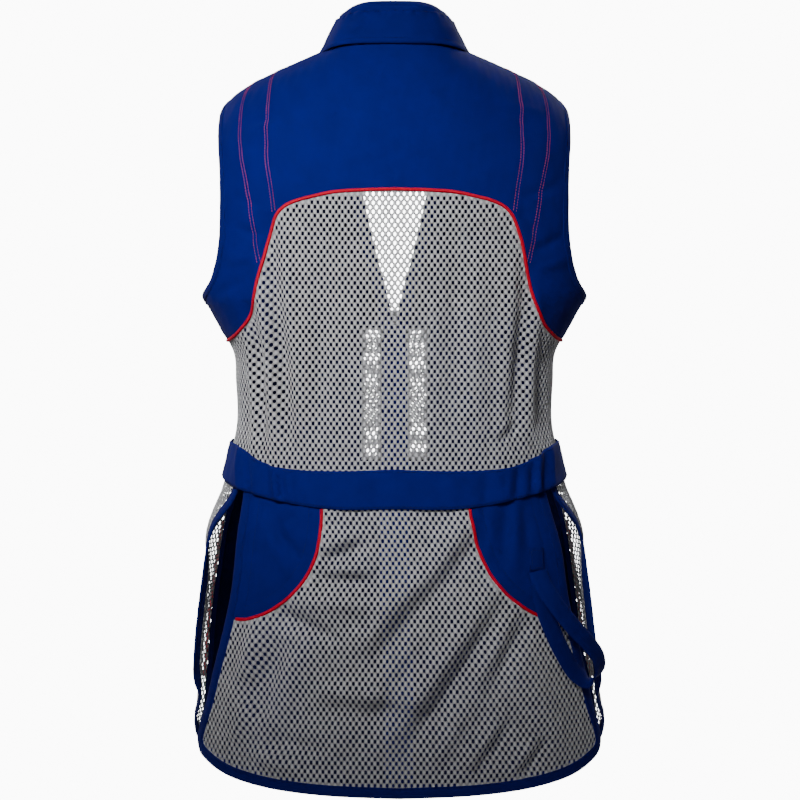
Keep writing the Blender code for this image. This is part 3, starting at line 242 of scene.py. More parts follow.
# Smaller creases, which only this script shows
# across, down, to_across, to_down, half_width, height
CREASES = (
    (0.173, 0.121, 0.113, 0.089, 0.0045, -0.0019),
    (0.165, 0.124, 0.118, 0.100, 0.0045, 0.0015),
    (0.176, 0.141, 0.122, 0.117, 0.0045, -0.0015),
    (0.169, 0.175, 0.133, 0.176, 0.0045, -0.0017),
    (0.165, 0.197, 0.133, 0.204, 0.0045, -0.0019),
    (0.173, 0.228, 0.139, 0.221, 0.0050, 0.0017),
    (0.200, 0.262, 0.150, 0.246, 0.0070, -0.0019),
    (-0.092, 0.080, -0.178, 0.125, 0.0045, -0.0020),
    (-0.105, 0.076, -0.172, 0.112, 0.0045, 0.0017),
    (-0.108, 0.097, -0.176, 0.140, 0.0045, -0.0015),
    (-0.126, 0.166, -0.179, 0.167, 0.0045, -0.0015),
    (-0.137, 0.218, -0.183, 0.206, 0.0050, -0.0025),
    (-0.143, 0.233, -0.189, 0.224, 0.0050, 0.0019),
    (-0.126, 0.175, -0.148, 0.207, 0.0050, -0.0017),
    (0.010, 0.118, -0.004, 0.143, 0.0045, -0.0010),
    (0.058, 0.090, 0.063, 0.145, 0.0090, -0.0009),
    (-0.020, 0.030, 0.050, 0.040, 0.0080, -0.0009),
    (0.125, 0.180, 0.108, 0.420, 0.0100, -0.0105),
    (0.137, 0.203, 0.122, 0.420, 0.0090, 0.0080),
    (0.148, 0.264, 0.138, 0.421, 0.0090, -0.0090),
    (0.114, 0.172, 0.095, 0.419, 0.0080, 0.0045),
    (0.158, 0.295, 0.150, 0.422, 0.0070, 0.0050),
    (-0.133, 0.227, -0.123, 0.420, 0.0085, -0.0070),
    (-0.146, 0.254, -0.142, 0.414, 0.0075, 0.0050),
    (-0.121, 0.192, -0.107, 0.415, 0.0080, 0.0035),
    (-0.062, 0.190, -0.058, 0.404, 0.0120, -0.0045),
    (0.067, 0.187, 0.078, 0.409, 0.0120, -0.0045),
    (0.087, 0.175, 0.091, 0.409, 0.0110, 0.0035),
    (-0.085, 0.180, -0.082, 0.404, 0.0110, 0.0035),
    (0.049, 0.264, 0.052, 0.404, 0.0090, -0.0020),
    (-0.101, 0.411, -0.132, 0.390, 0.0050, -0.0025),
    (-0.096, 0.402, -0.120, 0.383, 0.0050, 0.0020),
    (0.060, 0.395, 0.064, 0.434, 0.0050, -0.0012),
    (0.090, 0.390, 0.094, 0.434, 0.0050, -0.0014),
    (-0.040, 0.396, -0.044, 0.434, 0.0050, -0.0011),
    (-0.096, 0.388, -0.098, 0.432, 0.0050, -0.0014),
    (-0.076, 0.482, 0.047, 0.616, 0.0137, 0.0113),
    (-0.089, 0.492, 0.027, 0.629, 0.0112, -0.0094),
    (-0.101, 0.543, 0.024, 0.720, 0.0137, 0.0141),
    (-0.109, 0.567, -0.006, 0.712, 0.0112, -0.0094),
    (-0.120, 0.564, -0.070, 0.651, 0.0100, 0.0075),
    (-0.132, 0.579, -0.088, 0.662, 0.0088, -0.0067),
    (0.125, 0.575, 0.061, 0.604, 0.0088, -0.0104),
    (0.110, 0.565, 0.000, 0.568, 0.0100, 0.0075),
    (0.079, 0.527, 0.028, 0.506, 0.0075, -0.0094),
    (0.080, 0.514, 0.041, 0.497, 0.0075, 0.0057),
    (0.087, 0.542, 0.019, 0.546, 0.0075, -0.0086),
    (0.077, 0.532, 0.023, 0.532, 0.0075, 0.0057),
    (0.099, 0.654, -0.045, 0.661, 0.0125, 0.0086),
    (0.089, 0.670, -0.050, 0.677, 0.0112, -0.0067),
    (-0.106, 0.674, -0.062, 0.735, 0.0075, 0.0075),
    (-0.116, 0.681, -0.074, 0.737, 0.0075, -0.0067),
    (-0.143, 0.697, -0.107, 0.738, 0.0075, 0.0067),
    (-0.153, 0.704, -0.121, 0.739, 0.0075, -0.0057),
    (-0.070, 0.661, -0.030, 0.732, 0.0088, 0.0067),
    (0.140, 0.579, 0.159, 0.647, 0.0112, 0.0086),
    (0.117, 0.603, 0.144, 0.686, 0.0112, -0.0094),
    (0.151, 0.665, 0.173, 0.709, 0.0088, 0.0075),
    (0.064, 0.617, 0.125, 0.711, 0.0150, -0.0075),
    (0.099, 0.612, 0.145, 0.670, 0.0088, 0.0057),
    (-0.028, 0.601, 0.059, 0.736, 0.0125, -0.0057),
    (0.152, 0.717, 0.099, 0.732, 0.0075, 0.0057),
    (0.139, 0.704, 0.069, 0.713, 0.0088, -0.0057),
    (0.128, 0.470, 0.116, 0.512, 0.0060, -0.0026),
    (0.124, 0.490, 0.096, 0.530, 0.0055, -0.0040),
    (0.135, 0.500, 0.104, 0.545, 0.0070, 0.0030),
    (0.100, 0.478, 0.124, 0.492, 0.0050, -0.0022),
    (-0.112, 0.466, -0.106, 0.532, 0.0050, -0.0036),
    (-0.122, 0.462, -0.116, 0.540, 0.0055, 0.0034),
    (-0.134, 0.464, -0.130, 0.520, 0.0050, -0.0026),
    (-0.096, 0.476, -0.091, 0.524, 0.0045, 0.0026),
    (0.300, 0.060, 0.330, 0.150, 0.0120, -0.0018),
    (-0.290, 0.070, -0.330, 0.160, 0.0120, -0.0018),
    (0.330, 0.310, 0.300, 0.360, 0.0110, 0.0022),
    (-0.340, 0.300, -0.300, 0.350, 0.0110, 0.0020),
    (0.250, 0.450, 0.262, 0.560, 0.0100, 0.0030),
    (0.290, 0.460, 0.300, 0.620, 0.0110, -0.0028),
    (-0.245, 0.455, -0.255, 0.570, 0.0100, 0.0028),
    (-0.285, 0.460, -0.298, 0.610, 0.0110, -0.0026),
)

# Armhole, from the shoulder seam down the back, under the arm and up the front
ARMHOLE = (
    (0.2660, 0.1230), (0.2330, 0.1260), (0.2090, 0.1390), (0.1955, 0.1560), (0.1875, 0.1820),
    (0.1860, 0.2060), (0.1905, 0.2270), (0.2040, 0.2480), (0.2240, 0.2590), (0.2500, 0.2640),
    (0.2720, 0.2640), (0.2980, 0.2570), (0.3240, 0.2380), (0.3400, 0.2120), (0.3430, 0.1860),
    (0.3330, 0.1610), (0.3090, 0.1380),
)
YOKE_SEAM = (
    (0.0000, 0.1540), (0.0350, 0.1550), (0.0600, 0.1570), (0.0820, 0.1620), (0.0980, 0.1670),
    (0.1095, 0.1730), (0.1180, 0.1820), (0.1230, 0.1930), (0.1280, 0.2080), (0.1320, 0.2260),
    (0.1365, 0.2440), (0.1415, 0.2630), (0.1480, 0.2770), (0.1560, 0.2880), (0.1660, 0.2960),
    (0.1780, 0.3020), (0.2000, 0.3070),
)
BELT_TOP = (
    (0.0000, 0.4330), (0.0600, 0.4350), (0.0950, 0.4345), (0.1250, 0.4310), (0.1450, 0.4240),
    (0.1650, 0.4160), (0.1950, 0.4125), (0.2360, 0.4125),
)
BELT_BOTTOM = (
    (0.0000, 0.4730), (0.0600, 0.4735), (0.0950, 0.4700), (0.1300, 0.4640), (0.1600, 0.4580),
    (0.2000, 0.4510), (0.2420, 0.4490),
)
# Gathers of the waistband, as ridges: across, half_width, height
GATHERS = (
    (0.1040, 0.0070, 0.0022), (0.1195, 0.0045, 0.0030), (0.1310, 0.0050, 0.0020),
    (0.1430, 0.0045, 0.0024), (0.1570, 0.0060, 0.0020), (0.1720, 0.0070, 0.0016),
    (0.0350, 0.0160, 0.0010), (-0.0300, 0.0180, 0.0008), (-0.1060, 0.0060, 0.0022),
    (-0.1340, 0.0060, 0.0018), (-0.1470, 0.0045, 0.0030), (-0.1580, 0.0050, 0.0020),
    (-0.1720, 0.0070, 0.0016),
)
TAIL_EDGE = (
    (0.1590, 0.4500), (0.1615, 0.4680), (0.1700, 0.5080), (0.1790, 0.5670), (0.1850, 0.5900),
    (0.2010, 0.6400), (0.2120, 0.6750), (0.2230, 0.6990), (0.2265, 0.7120), (0.2210, 0.7240),
    (0.2060, 0.7325), (0.1830, 0.7415), (0.1500, 0.7490), (0.1130, 0.7540), (0.0820, 0.7565),
    (0.0000, 0.7595),
)
FACING_SEAM = (
    (0.0740, 0.4640), (0.0745, 0.4800), (0.0770, 0.4960), (0.0805, 0.5120), (0.0865, 0.5275),
    (0.0955, 0.5435), (0.1080, 0.5580), (0.1220, 0.5690), (0.1360, 0.5775), (0.1530, 0.5840),
    (0.1850, 0.5860),
)
# Back edge of the front skirt, round its corner to the hem
SLIT_EDGE = (
    (0.1650, 0.4520), (0.1780, 0.4720), (0.1960, 0.4870), (0.2120, 0.5000), (0.2235, 0.5170),
    (0.2310, 0.5450), (0.2365, 0.5750), (0.2430, 0.6100), (0.2485, 0.6450), (0.2540, 0.6640),
    (0.2670, 0.6800), (0.2860, 0.6950), (0.3060, 0.7110), (0.3230, 0.7270),
)
# Hem of a front from the foot of the skirt's seam towards the zip, in the same two lengths
FRONT_HEM = (
    (0.2222, 0.7530), (0.2033, 0.7660), (0.1822, 0.7775), (0.1512, 0.7890), (0.1199, 0.7970),
    (0.0860, 0.8025),
)
# The skirt's side leans in behind its back edge, which stands out.
FLARE_IN = 0.0090
FLARE_EDGE = 0.2485
FLARE_TURN = 0.0080
FLARE_FADE = 0.0350
FLARE_FROM = 0.500
FLARE_OVER = 0.060
# Neckline of the open front: distance from the centre front, down
NECK_OPENING = (
    (0.0505, -0.016), (0.0475, 0.000), (0.0315, 0.083), (0.0230, 0.140), (0.0137, 0.205),
    (0.0000, ZIP_STOP),
)
# Strap loop: across, down, out from the cloth
STRAP_ROUTE = (
    (-0.1400, 0.5362, 0.0031), (-0.1415, 0.5450, 0.0066), (-0.1450, 0.5560, 0.0115),
    (-0.1530, 0.5720, 0.0180), (-0.1665, 0.5925, 0.0230), (-0.1820, 0.6110, 0.0255),
    (-0.1950, 0.6290, 0.0245), (-0.2000, 0.6430, 0.0185), (-0.1950, 0.6500, 0.0110),
    (-0.1830, 0.6420, 0.0064), (-0.1690, 0.6230, 0.0052), (-0.1570, 0.6000, 0.0048),
    (-0.1480, 0.5780, 0.0040), (-0.1435, 0.5600, 0.0035), (-0.1420, 0.5500, 0.0033),
)
STRAP_TAB = (-0.1400, 0.5245, 0.0150, 0.0220)

# Pairs of decorative stitch lines over the shoulder blades
BLADE_OUTER = (
    (0.2010, 0.0760), (0.1940, 0.0870), (0.1740, 0.1190), (0.1660, 0.1340), (0.1550, 0.1540),
    (0.1460, 0.1840), (0.1390, 0.2140), (0.1350, 0.2280),
)
BLADE_INNER = (
    (0.1760, 0.0430), (0.1620, 0.0600), (0.1430, 0.0810), (0.1350, 0.1070), (0.1300, 0.1340),
    (0.1250, 0.1540), (0.1205, 0.1800),
)
PAIR_HALF = 0.0017
STITCH_PROUD = 0.0002
FACING_STITCH = 0.0130
EDGE_STITCH = 0.0100
FACING_STITCH_END = 0.018
FRONT_STITCH = 0.003
FLY_STITCH = 0.0020
STITCH_END = 0.020
STITCH_STOP = 0.010
TUCK = 0.008
PIPING_TUCK = 0.002
PLAIN = 0.0001
PIPED = 0.0004
UNDER = 0.0030
TAPE_CLOTH = 0.0009
BELT_STITCH = 0.0022
BELT_DROP = 0.0011
BELT_MIDDLE = 0.455
GATHER_SLANT = 0.12
BINDING_STITCH = 0.0014
TAB_STITCH_SHARE = 0.76
ROLL_RADIUS = 0.0013
EDGE_SOFT = 0.0012
GROOVE = 0.0005
GROOVE_HALF = 0.0011
PUCKER_SIZE = 0.00022
PUCKER_PITCH = 0.0075
BAND_PUCKER = 0.00022
BAND_PITCH = 0.0060
CORD_WANDER = 0.00010
COLLAR_RIPPLE = 0.0011
COLLAR_PITCH = 0.016
MESH_WELD = 0.00025
YARN_EDGE = 0.55
PIPING_SHOWN = 0.7

# Woven finishes: colour, share of it, rib in millimetres, roughness, sheen, lightest, darkest
RED_THREAD = (0.560, 0.060, 0.120)
WOVEN = {
    "blue_cloth": ("blue", 1.0, 0.80, 0.85, 0.01, 1.14, 0.86),
    # The row below darkens the fronts' inner faces to a third of the blue: painted shade for the dark
    # inside seen through the mesh holes.
    "blue_reverse": ("blue", 0.35, 0.80, 0.90, 0.01, 1.14, 0.86),
    "blue_tape": ("blue", 0.92, 0.55, 0.82, 0.01, 1.12, 0.88),
    "red_cord": ("red", 1.0, 0.60, 0.75, 0.01, 1.08, 0.90),
    # The row below makes the blue thread much darker than the cloth: a real thread whose dark colour
    # also paints the shadow along the seams.
    "blue_thread": ("blue", 0.28, 0.30, 0.60, 0.02, 1.2, 0.8),
    "red_thread": (None, 1.0, 0.30, 0.55, 0.10, 1.2, 0.8),
}
# Turns in degrees, sizes in millimetres and depths in metres
RIB_TURN = 52.0
YARN_TURN = -8.0
YARN_FINER = 0.62
CLOUD_SIZE = 26.0
FLECK_SIZE = 0.9
WEAVE_BUMP = (0.55, 0.00018)
LOOP_TURN = 28.0
LOOP_SIZE = 0.62
FUZZ_SIZE = 0.7
MESH_CLOUD_SIZE = 18.0
KNIT_BUMP = (0.8, 0.0008)
METAL_GRAIN = 900.0
METAL_ROUGH = (0.24, 0.46)
METAL_BUMP = (0.15, 0.00005)

# Teeth of the zip
TOOTH_FROM_CENTRE = 0.0016
TOOTH_WIDE = 0.0030
TOOTH_DEEP = 0.0016
TOOTH_HIGH = 0.0012
TOOTH_LIFT = 0.0009
TEETH_FROM = ZIP_STOP + 0.006

# Corners of a mesh cell, in half pitches across and third pitches down
CELL_KEYS = ((0, -2), (1, -1), (1, 1), (0, 2), (-1, 1), (-1, -1))

# Section of a binding: share of its width, outer height, inner height
BAND_ROWS = (
    (0.00, 0.0010, 0.0004), (0.06, 0.0017, -0.0003), (0.22, 0.0021, -0.0006),
    (0.60, 0.0021, -0.0006), (0.88, 0.0019, -0.0005), (1.00, 0.0012, -0.0001),
)
# Finer gathers of the waistband, as ridges and dips: across, half_width, height
FINE_GATHERS = (
    (0.0960, 0.0034, -0.0020), (0.1120, 0.0026, -0.0038), (0.1180, 0.0030, 0.0035),
    (0.1270, 0.0024, -0.0023), (0.1500, 0.0028, -0.0032), (0.1640, 0.0032, 0.0023),
    (0.0700, 0.0060, -0.0014), (0.0200, 0.0110, -0.0012), (-0.0560, 0.0080, 0.0013),
    (-0.0900, 0.0044, -0.0017), (-0.1140, 0.0030, 0.0022), (-0.1240, 0.0026, -0.0029),
    (-0.1400, 0.0026, -0.0035), (-0.1460, 0.0030, 0.0032), (-0.1550, 0.0026, -0.0026),
    (-0.1660, 0.0030, 0.0023),
)

# Stage
VIEW_ACROSS = -0.0057
VIEW_HEIGHT = -0.3475
FLOOR_RADIUS = 2.8
FLOOR_SIDES = 96
WORLD_LIGHT = 0.03
WORLD_SEEN = 11.0
# name, place, aim, diameter, power, spread in degrees
LIGHTS = (
    ("key", (0.72, 2.06, 1.02), (0.085, 0.1, -0.190), 0.6, 2.60, 24.0),
    ("fill", (-1.6, 2.6, 0.3), (0.0, 0.0, -0.30), 1.8, 1.5, 180.0),
    ("top", (0.2, 0.9, 2.0), (0.0, 0.0, -0.20), 1.4, 1.5, 180.0),
    ("front_key", (-1.7, -2.2, 1.3), (0.0, 0.0, -0.40), 1.2, 58.0, 170.0),
    ("front_fill", (2.0, -1.9, 0.7), (0.0, 0.0, -0.40), 1.6, 34.0, 170.0),
)


# Sizes and colours that a user would change

class VestCloth(PropertyGroup):
    thick: FloatProperty(
        name="Cloth", description="Thickness of the blue cloth",
        default=0.0014, unit="LENGTH", precision=4
    )
    mesh_thick: FloatProperty(
        name="Mesh", description="Thickness of the mesh",
        default=0.0009, unit="LENGTH", precision=4
    )
    hole_width: FloatProperty(
        name="Hole width", description="Width of a mesh hole",
        default=0.0030, unit="LENGTH", precision=4
    )
    hole_height: FloatProperty(
        name="Hole height", description="Height of a mesh hole",
        default=0.0043, unit="LENGTH", precision=4
    )
    pitch_across: FloatProperty(
        name="Hole pitch", description="From hole to hole along a row",
        default=0.0061, unit="LENGTH", precision=4
    )
    pitch_down: FloatProperty(
        name="Row pitch", description="From one row of holes to the next",
        default=0.0044, unit="LENGTH", precision=4
    )
    creases: FloatProperty(
        name="Creases", description="Strength of the small creases",
        default=1.0, subtype="FACTOR"
    )


class VestTrim(PropertyGroup):
    piping: FloatProperty(
        name="Piping", description="Radius of the piping",
        default=0.0017, unit="LENGTH", precision=4
    )
    thread: FloatProperty(
        name="Thread", description="Radius of the sewing thread",
        default=0.00027, unit="LENGTH", precision=5
    )
    stitch: FloatProperty(
        name="Stitch", description="Length of one stitch",
        default=0.0021, unit="LENGTH", precision=4
    )
    stitch_pitch: FloatProperty(
        name="Stitch pitch", description="From stitch to stitch",
        default=0.0028, unit="LENGTH", precision=4
    )
    tooth_pitch: FloatProperty(
        name="Tooth pitch", description="From tooth to tooth of the zip",
        default=0.0026, unit="LENGTH", precision=4
    )


class VestColours(PropertyGroup):
    blue: FloatVectorProperty(
        name="Blue cloth", description="Colour of the solid cloth",
        default=(0.0010, 0.0029, 0.1120),
        subtype="COLOR", min=0.0, max=1.0
    )
    grey: FloatVectorProperty(
        name="Grey mesh", description="Colour of the mesh yarn", default=(0.395, 0.396, 0.415),
        subtype="COLOR", min=0.0, max=1.0
    )
    red: FloatVectorProperty(
        name="Red cord", description="Colour of piping and red thread",
        default=(0.450, 0.0003, 0.019),
        subtype="COLOR", min=0.0, max=1.0
    )
    metal: FloatVectorProperty(
        name="Zip metal", description="Colour of the zip's metal", default=(0.56, 0.56, 0.58),
        subtype="COLOR", min=0.0, max=1.0
    )


class VestStage(PropertyGroup):
    distance: FloatProperty(
        name="Camera distance", description="From the vest to the camera",
        default=3.0, unit="LENGTH"
    )
    elevation: FloatProperty(
        name="Elevation", description="Height of the camera",
        default=math.radians(4.0), subtype="ANGLE", unit="ROTATION"
    )
    view_width: FloatProperty(
        name="View width", description="Width of the view at the vest",
        default=0.824, unit="LENGTH"
    )
    light: FloatProperty(
        name="Light", description="Strength of the studio lights", default=1.0, subtype="FACTOR"
    )
    floor_down: FloatProperty(
        name="Floor", description="From the shoulders down to the floor",
        default=1.38, unit="LENGTH"
    )


def cloth_sizes():
    return bpy.context.scene.vest_cloth


def trim_sizes():
    return bpy.context.scene.vest_trim


# Curves and interpolation

def smooth_columns(rows, at):
    """Read a table of rows smoothly at many values of its first column."""
    table = np.array(rows, float)
    knots = table[:, 0]
    values = table[:, 1:]
    steps = np.diff(knots)[:, None]
    slopes = np.diff(values, axis=0) / steps
    tangents = np.empty_like(values)
    tangents[1:-1] = (slopes[:-1] * steps[1:] + slopes[1:] * steps[:-1]) / (steps[:-1] + steps[1:])
    tangents[0] = slopes[0]
    tangents[-1] = slopes[-1]
    at = np.asarray(at, float)
    index = np.clip(np.searchsorted(knots, at) - 1, 0, len(knots) - 2)
    step = steps[index]
    u = (at - knots[index])[:, None] / step
    start = (2 * u**3 - 3 * u**2 + 1) * values[index]
    start = start + (u**3 - 2 * u**2 + u) * step * tangents[index]
    end = (3 * u**2 - 2 * u**3) * values[index + 1]
    end = end + (u**3 - u**2) * step * tangents[index + 1]
    return start + end


def unit_rows(rows):
    """Each row as a direction of length one."""
    return rows / np.linalg.norm(rows, axis=1, keepdims=True)


def left_of(ways):
    """Directions to the left of flat ones."""
    return np.column_stack([-ways[:, 1], ways[:, 0]])


def lengths_along(points):
    """Length along a line from its first point to each of its points."""
    return np.concatenate([[0.0], np.cumsum(np.linalg.norm(np.diff(points, axis=0), axis=1))])


def smooth_path(points, step=EDGE_STEP, closed=False):
    """Points at even steps along a smooth curve through the given ones."""
    points = [tuple(p) for p in points]
    if closed:
        points = points[-3:] + points + points[:4]
    table = np.array(points, float)
    along = lengths_along(table)
    start, end = 0.0, along[-1]
    if closed:
        start, end = along[3], along[-4]
    count = max(2, int(round((end - start) / step)))
    places = np.linspace(start, end, count + 1)
    if closed:
        places = places[:-1]
    return smooth_columns(np.column_stack([along, table]), places)


def straight(start, end, step=EDGE_STEP):
    """Points at even steps along a straight line."""
    start = np.array(start, float)
    end = np.array(end, float)
    count = max(1, int(round(np.linalg.norm(end - start) / step)))
    return start + (end - start) * np.linspace(0.0, 1.0, count + 1)[:, None]


def ring_lines(corners, step=EDGE_STEP):
    """Straight lines from corner to corner, all the way round."""
    return [straight(start, end, step) for start, end in zip(corners, np.roll(corners, -1, axis=0))]


def strip_edges(first, second):
    """The outline between two lines that run side by side."""
    return [
        (first, 0.0),
        (straight(first[-1], second[-1]), 0.0),
        (second[::-1], 0.0),
        (straight(second[0], first[0]), 0.0),
    ]


def smooth_rise(value, start, over):
    """0 before start, 1 once `over` has passed, and smooth between."""
    u = np.clip((value - start) / over, 0.0, 1.0)
    return u * u * (3.0 - 2.0 * u)


# Body form

class Form:
    """A hollow form through rings, read by share of the half ring and by length down."""

    STEP = 0.004
    QUARTER = 96

    def __init__(self, rings, swings=False):
        self.rings = rings
        self.swings = swings
        self.length = rings[-1][0]
        self.rows = np.linspace(0.0, self.length, max(3, int(round(self.length / self.STEP)) + 1))
        columns = smooth_columns(rings, self.rows)
        side_x, side_z, back_y, back_z, front_y, front_z = (columns[:, k, None] for k in range(6))
        turn = np.linspace(0.0, math.pi, 2 * self.QUARTER + 1)
        sine = np.abs(np.sin(turn))
        in_back = turn <= math.pi / 2
        power = 2.0 / np.where(in_back, BACK_POWER, FRONT_POWER)
        end_z = np.where(in_back, back_z, front_z)
        x = side_x * sine**power
        y = np.where(in_back, back_y, front_y) * np.abs(np.cos(turn))**power
        z = end_z + (side_z - end_z) * sine**RISE_POWER
        ring = np.stack([x, y, z], axis=2)
        lengths = np.linalg.norm(np.diff(ring, axis=1), axis=2)
        along = np.concatenate([np.zeros((len(self.rows), 1)), np.cumsum(lengths, axis=1)], axis=1)
        self.halves = along[:, -1]
        self.columns = 4 * self.QUARTER + 1
        shares = np.linspace(0.0, 1.0, self.columns)
        self.table = np.empty((len(self.rows), self.columns, 3))
        for row in range(len(self.rows)):
            reach = shares * self.halves[row]
            for axis in range(3):
                self.table[row, :, axis] = np.interp(reach, along[row], ring[row, :, axis])

    def half(self, down):
        """Length round the body from the centre back to the centre front."""
        return np.interp(down, self.rows, self.halves)

    def point(self, share, down):
        share = np.asarray(share, float)
        down = np.asarray(down, float)
        u = np.clip(np.abs(share), 0.0, 1.0) * (self.columns - 1)
        v = np.clip(down / self.length, 0.0, 1.0) * (len(self.rows) - 1)
        i = np.minimum(u.astype(int), self.columns - 2)
        j = np.minimum(v.astype(int), len(self.rows) - 2)
        a = (u - i)[..., None]
        b = (v - j)[..., None]
        upper = self.table[j, i] * (1 - a) + self.table[j, i + 1] * a
        lower = self.table[j + 1, i] * (1 - a) + self.table[j + 1, i + 1] * a
        place = upper * (1 - b) + lower * b
        place[..., 0] *= np.where(share < 0, -1.0, 1.0)
        if self.swings:
            in_front = smooth_rise(np.abs(share), SWING_BACK_SHARE, SWING_FADE)
            tail = smooth_rise(down, TAIL_SWING_FROM, SWING_OVER)
            front = smooth_rise(down, FRONT_SWING_FROM, SWING_OVER)
            place[..., 0] -= SWING * (tail + (front - tail) * in_front)
        return place

    def normal(self, share, down):
        """Unit direction out of the form, from points a little way off on each side."""
        away_share = 0.010
        away_down = 0.006
        share = np.asarray(share, float)
        down = np.clip(np.asarray(down, float), 0.0, self.length)
        ahead = np.minimum(down + away_down, self.length)
        behind = np.maximum(down - away_down, 0.0)
        round_way = self.around(share + away_share, down) - self.around(share - away_share, down)
        down_way = self.point(share, ahead) - self.point(share, behind)
        out = np.cross(round_way, down_way)
        return out / np.linalg.norm(out, axis=-1, keepdims=True)

    def around(self, share, down):
        """A point whose share may run past the centre front to the other side."""
        wrapped = np.where(share > 1.0, share - 2.0, np.where(share < -1.0, share + 2.0, share))
        return self.point(wrapped, down)


BODY = Form(BODY_RINGS, swings=True)
STAND = Form(STAND_RINGS)
FALL = Form(FALL_RINGS)


def crease_height(rows, across, down):
    """How far the folds of one table lift the cloth at a place."""
    height = np.zeros_like(across)
    for from_across, from_down, to_across, to_down, half_width, peak in rows:
        way = np.array([to_across - from_across, to_down - from_down])
        length = np.linalg.norm(way)
        way = way / length
        along = (across - from_across) * way[0] + (down - from_down) * way[1]
        aside = (down - from_down) * way[0] - (across - from_across) * way[1]
        ends = np.sin(np.pi * np.clip(along / length, 0.0, 1.0)) ** 0.7
        height += peak * ends * np.exp(-(aside / half_width) ** 2)
    return height


def cloth_height(across, down):
    """All folds and creases of the cloth at a place."""
    small = crease_height(CREASES, across, down)
    return crease_height(FOLDS, across, down) + small * cloth_sizes().creases


def on_body(places, out):
    """World points for (across, down) places, lifted off the folded cloth by `out`."""
    across = places[:, 0]
    down = places[:, 1]
    share = across / BODY.half(down)
    lift = np.asarray(out) + cloth_height(across, down)
    return BODY.point(share, down) + BODY.normal(share, down) * np.reshape(lift, (-1, 1))


def body_normals(places):
    return BODY.normal(places[:, 0] / BODY.half(places[:, 1]), places[:, 1])


def on_side(edges, side):
    """The edges of a piece for the left side, or mirrored for the right."""
    if side > 0:
        return edges
    return [(mirrored(curve)[::-1], inset) for curve, inset in reversed(edges)]


def from_front(points):
    """Turn (distance from the centre front, down) into (across, down)."""
    return [(float(BODY.half(down)) - away, down) for away, down in points]


def share_line(share, start, end, step=EDGE_STEP):
    """The line at one share of the half ring, between two lengths down."""
    downs = straight((0.0, start), (0.0, end), step)[:, 1]
    return np.column_stack([share * BODY.half(downs), downs])


def mirrored(points):
    flipped = np.array(points, float)
    flipped[:, 0] *= -1.0
    return flipped


def on_the_side(path, side):
    return path if side > 0 else mirrored(path)


# Mesh making

def sewn_name(name):
    """A piece that stands for a CAD node carries the node's name and a word of its own."""
    return name + "_sewn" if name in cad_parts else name


def new_piece(name, points, faces, finish, weave=None, sharp=None):
    """One closed solid with its faces turned outwards, riding on the vest."""
    mesh = bpy.data.meshes.new(name)
    mesh.from_pydata([tuple(p) for p in points], [], faces)
    body = bmesh.new()
    body.from_mesh(mesh)
    bmesh.ops.recalc_face_normals(body, faces=body.faces[:])
    if body.calc_volume(signed=True) < 0:
        bmesh.ops.reverse_faces(body, faces=body.faces[:])
    body.to_mesh(mesh)
    body.free()
    mesh.shade_smooth()
    if sharp is not None:
        mesh.set_sharp_from_angle(angle=math.radians(sharp))
    layer = mesh.uv_layers.new(name="cloth")
    index = np.empty(len(mesh.loops), int)
    mesh.loops.foreach_get("vertex_index", index)
    flat = np.asarray(points)[:, [0, 2]] if weave is None else np.asarray(weave)
    layer.data.foreach_set("uv", flat[index].astype(np.float32).ravel())
    mesh.materials.append(finish_of(finish))
    piece = bpy.data.objects.new(sewn_name(name), mesh)
    bpy.context.scene.collection.objects.link(piece)
    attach(piece, ROOT)
    return piece


def turned_area(outline):
    x, y = outline[:, 0], outline[:, 1]
    return 0.5 * float(np.sum(x * np.roll(y, -1) - np.roll(x, -1) * y))


def inset_outline(edges):
    """Join curves into one outline, each moved inwards by its own distance."""
    points = []
    moves = []
    for curve, inset in edges:
        curve = np.asarray(curve, float)
        points.extend(curve[:-1])
        moves.extend([inset] * (len(curve) - 1))
    points = np.array(points)
    moves = np.array(moves)
    if turned_area(points) < 0:
        points = points[::-1]
        moves = np.roll(moves[::-1], -1)
    ways = np.roll(points, -1, axis=0) - points
    ways = unit_rows(ways)
    inward = left_of(ways)
    result = []
    for index in range(len(points)):
        before, after = inward[index - 1], inward[index]
        first, second = moves[index - 1], moves[index]
        turn = before[0] * after[1] - before[1] * after[0]
        if abs(turn) < 0.15:
            shift = (before * first + after * second) / 2
        else:
            shift = np.linalg.solve(np.array([before, after]), np.array([first, second]))
        result.append(points[index] + shift)
    return np.array(result)


def inside(outline, places):
    """Which places lie inside a closed outline."""
    hits = np.zeros(len(places), bool)
    ahead = np.roll(outline, -1, axis=0)
    for (x0, y0), (x1, y1) in zip(outline, ahead):
        spans = (y0 > places[:, 1]) != (y1 > places[:, 1])
        height = y1 - y0 if y1 != y0 else 1.0
        cross = x0 + (places[:, 1] - y0) * (x1 - x0) / height
        hits ^= spans & (places[:, 0] < cross)
    return hits


def nearest_on(line, places):
    """The nearest point of a line to each place, and its distance."""
    best = np.full(len(places), FAR_OFF)
    result = places.copy()
    for start, end in zip(line[:-1], line[1:]):
        way = end - start
        share = np.clip(((places - start) @ way) / max(float(way @ way), TINY), 0.0, 1.0)
        spot = start + share[:, None] * way
        gap = np.linalg.norm(places - spot, axis=1)
        closer = gap < best
        best[closer] = gap[closer]
        result[closer] = spot[closer]
    return result, best


def path_distance(line, places):
    return nearest_on(line, places)[1]


def closed_line(outline):
    return np.concatenate([outline, outline[:1]])


def edge_distance(outline, places):
    return path_distance(closed_line(outline), places)


